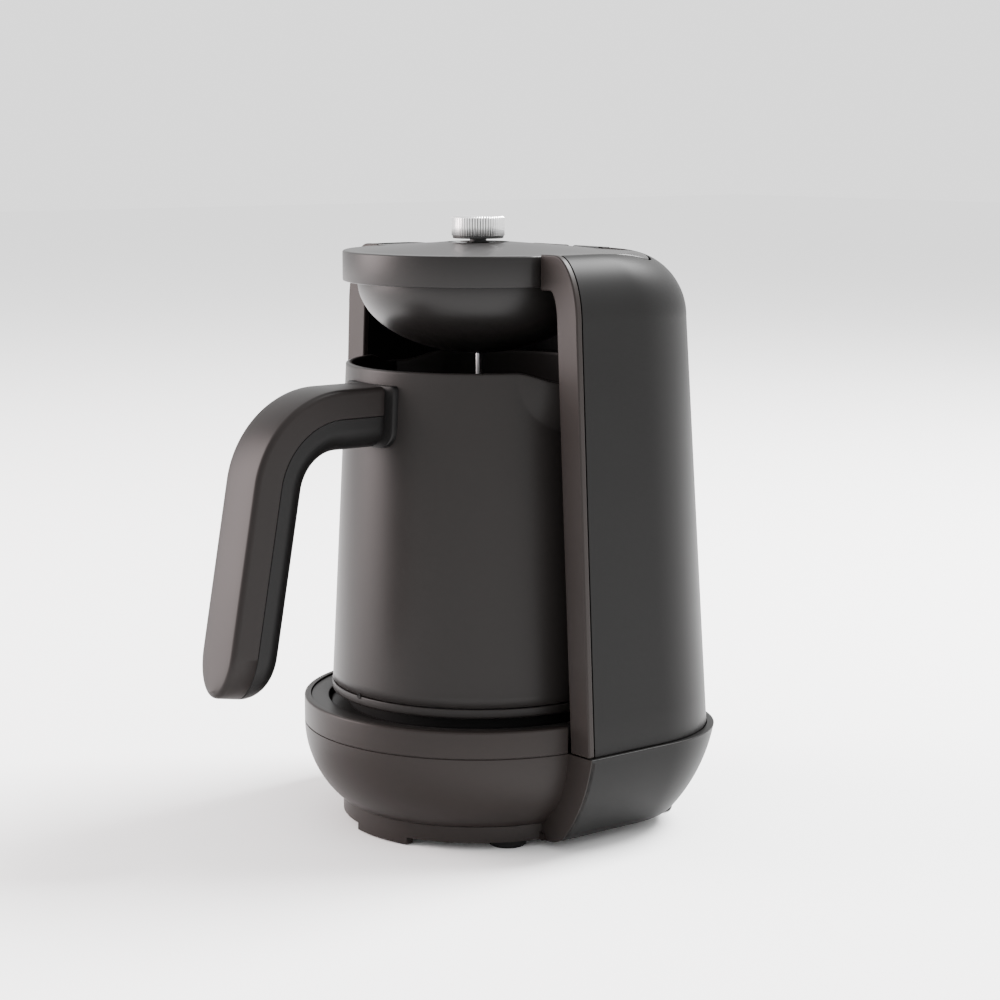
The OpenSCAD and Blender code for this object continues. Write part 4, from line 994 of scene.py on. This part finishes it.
def paint_nodes():
    """Materials for the CAD nodes that keep their own solids."""
    # the inner liner in near-black is painted shade for the recess behind the pot
    paint(INSIDE_SHADE, "inner_liner", "head_tray", "motor_bracket", "base_connector", "selector_body",
          "push_plunger", "whisk_coupling", "shaft_bush", "board_parts", "thermostat",
          "pot_connector")
    paint(LIT_BODY, "base_cover")
    paint(RUBBER, "cord_gland")
    # the knob's shaft and nut take the dark steel as painted shade in the gap under the knob
    paint(DARK_STEEL_AND_SHADE, "hinge_bracket", "hinge_pin", "hinge_screws", "hinge_leaf", "knob_shaft",
          "selector_nut")
    paint(STEEL, "head_screws", "motor", "motor_screws", "motor_shaft", "whisk_rod",
          "whisk_coil", "pot_floor", "handle_core", "handle_screws", "cover_screws")
    paint(BOARD, "control_board")
    paint(COPPER, "heating_ring")


# ------------------------------------------------------------------ stage

FLOOR_HALF, FLOOR_TONE, FLOOR_ROUGH = 6.0, 0.95, 0.9
WORLD_STRENGTH = 1.8
LIGHT_AIM = (0, 0, 0.1)


def make_stage():
    """A pale floor under a white sky."""
    s = FLOOR_HALF
    floor = bpy.data.meshes.new("floor")
    floor.from_pydata([(-s, -s, 0), (s, -s, 0), (s, s, 0), (-s, s, 0)], [], [(0, 1, 2, 3)])
    mat = bpy.data.materials.new("floor")
    mat.use_nodes = True
    shader = mat.node_tree.nodes["Principled BSDF"]
    shader.inputs["Base Color"].default_value = (FLOOR_TONE, FLOOR_TONE, FLOOR_TONE, 1)
    shader.inputs["Roughness"].default_value = FLOOR_ROUGH
    shader.inputs["Specular IOR Level"].default_value = 0.0
    floor.materials.append(mat)
    obj = bpy.data.objects.new("floor", floor)
    bpy.context.scene.collection.objects.link(obj)

    world = bpy.data.worlds.new("world")
    bpy.context.scene.world = world
    world.use_nodes = True
    sky = world.node_tree.nodes["Background"]
    sky.inputs["Color"].default_value = (1, 1, 1, 1)
    sky.inputs["Strength"].default_value = WORLD_STRENGTH


def area_light(name, at, size, power, color=(1, 1, 1)):
    """A soft light at a place in metres, turned to the part."""
    data = bpy.data.lights.new(name, "AREA")
    data.shape = "RECTANGLE"
    data.size, data.size_y = size
    data.energy = power
    data.color = color
    obj = bpy.data.objects.new(name, data)
    bpy.context.scene.collection.objects.link(obj)
    obj.location = at
    obj.rotation_euler = (Vector(LIGHT_AIM) - Vector(at)).to_track_quat("-Z", "Y").to_euler()


def make_lights():
    """A warm light on the handle's side and one from above and behind, for the edges."""
    area_light("key_left", (-1.1, -1.1, 0.55), (0.9, 1.2), 62, (1.0, 0.86, 0.85))
    area_light("top_rear", (0.25, 1.0, 1.33), (0.8, 0.7), 120)


make_camera()
make_bowl()
make_housing()
make_feet()
make_well()
make_frame()
make_rear_shell()
make_head()
make_dome()
make_knob()
make_pot()
make_vent()
make_grip("grip_outer_skin", outer_layers(), GRIP, "handle_outer", CROWN)
make_grip("grip_inner_skin", inner_layers(), GRIP_DARK, "handle_inner", 0.0)
make_collar()
paint_nodes()
make_stage()
make_lights()
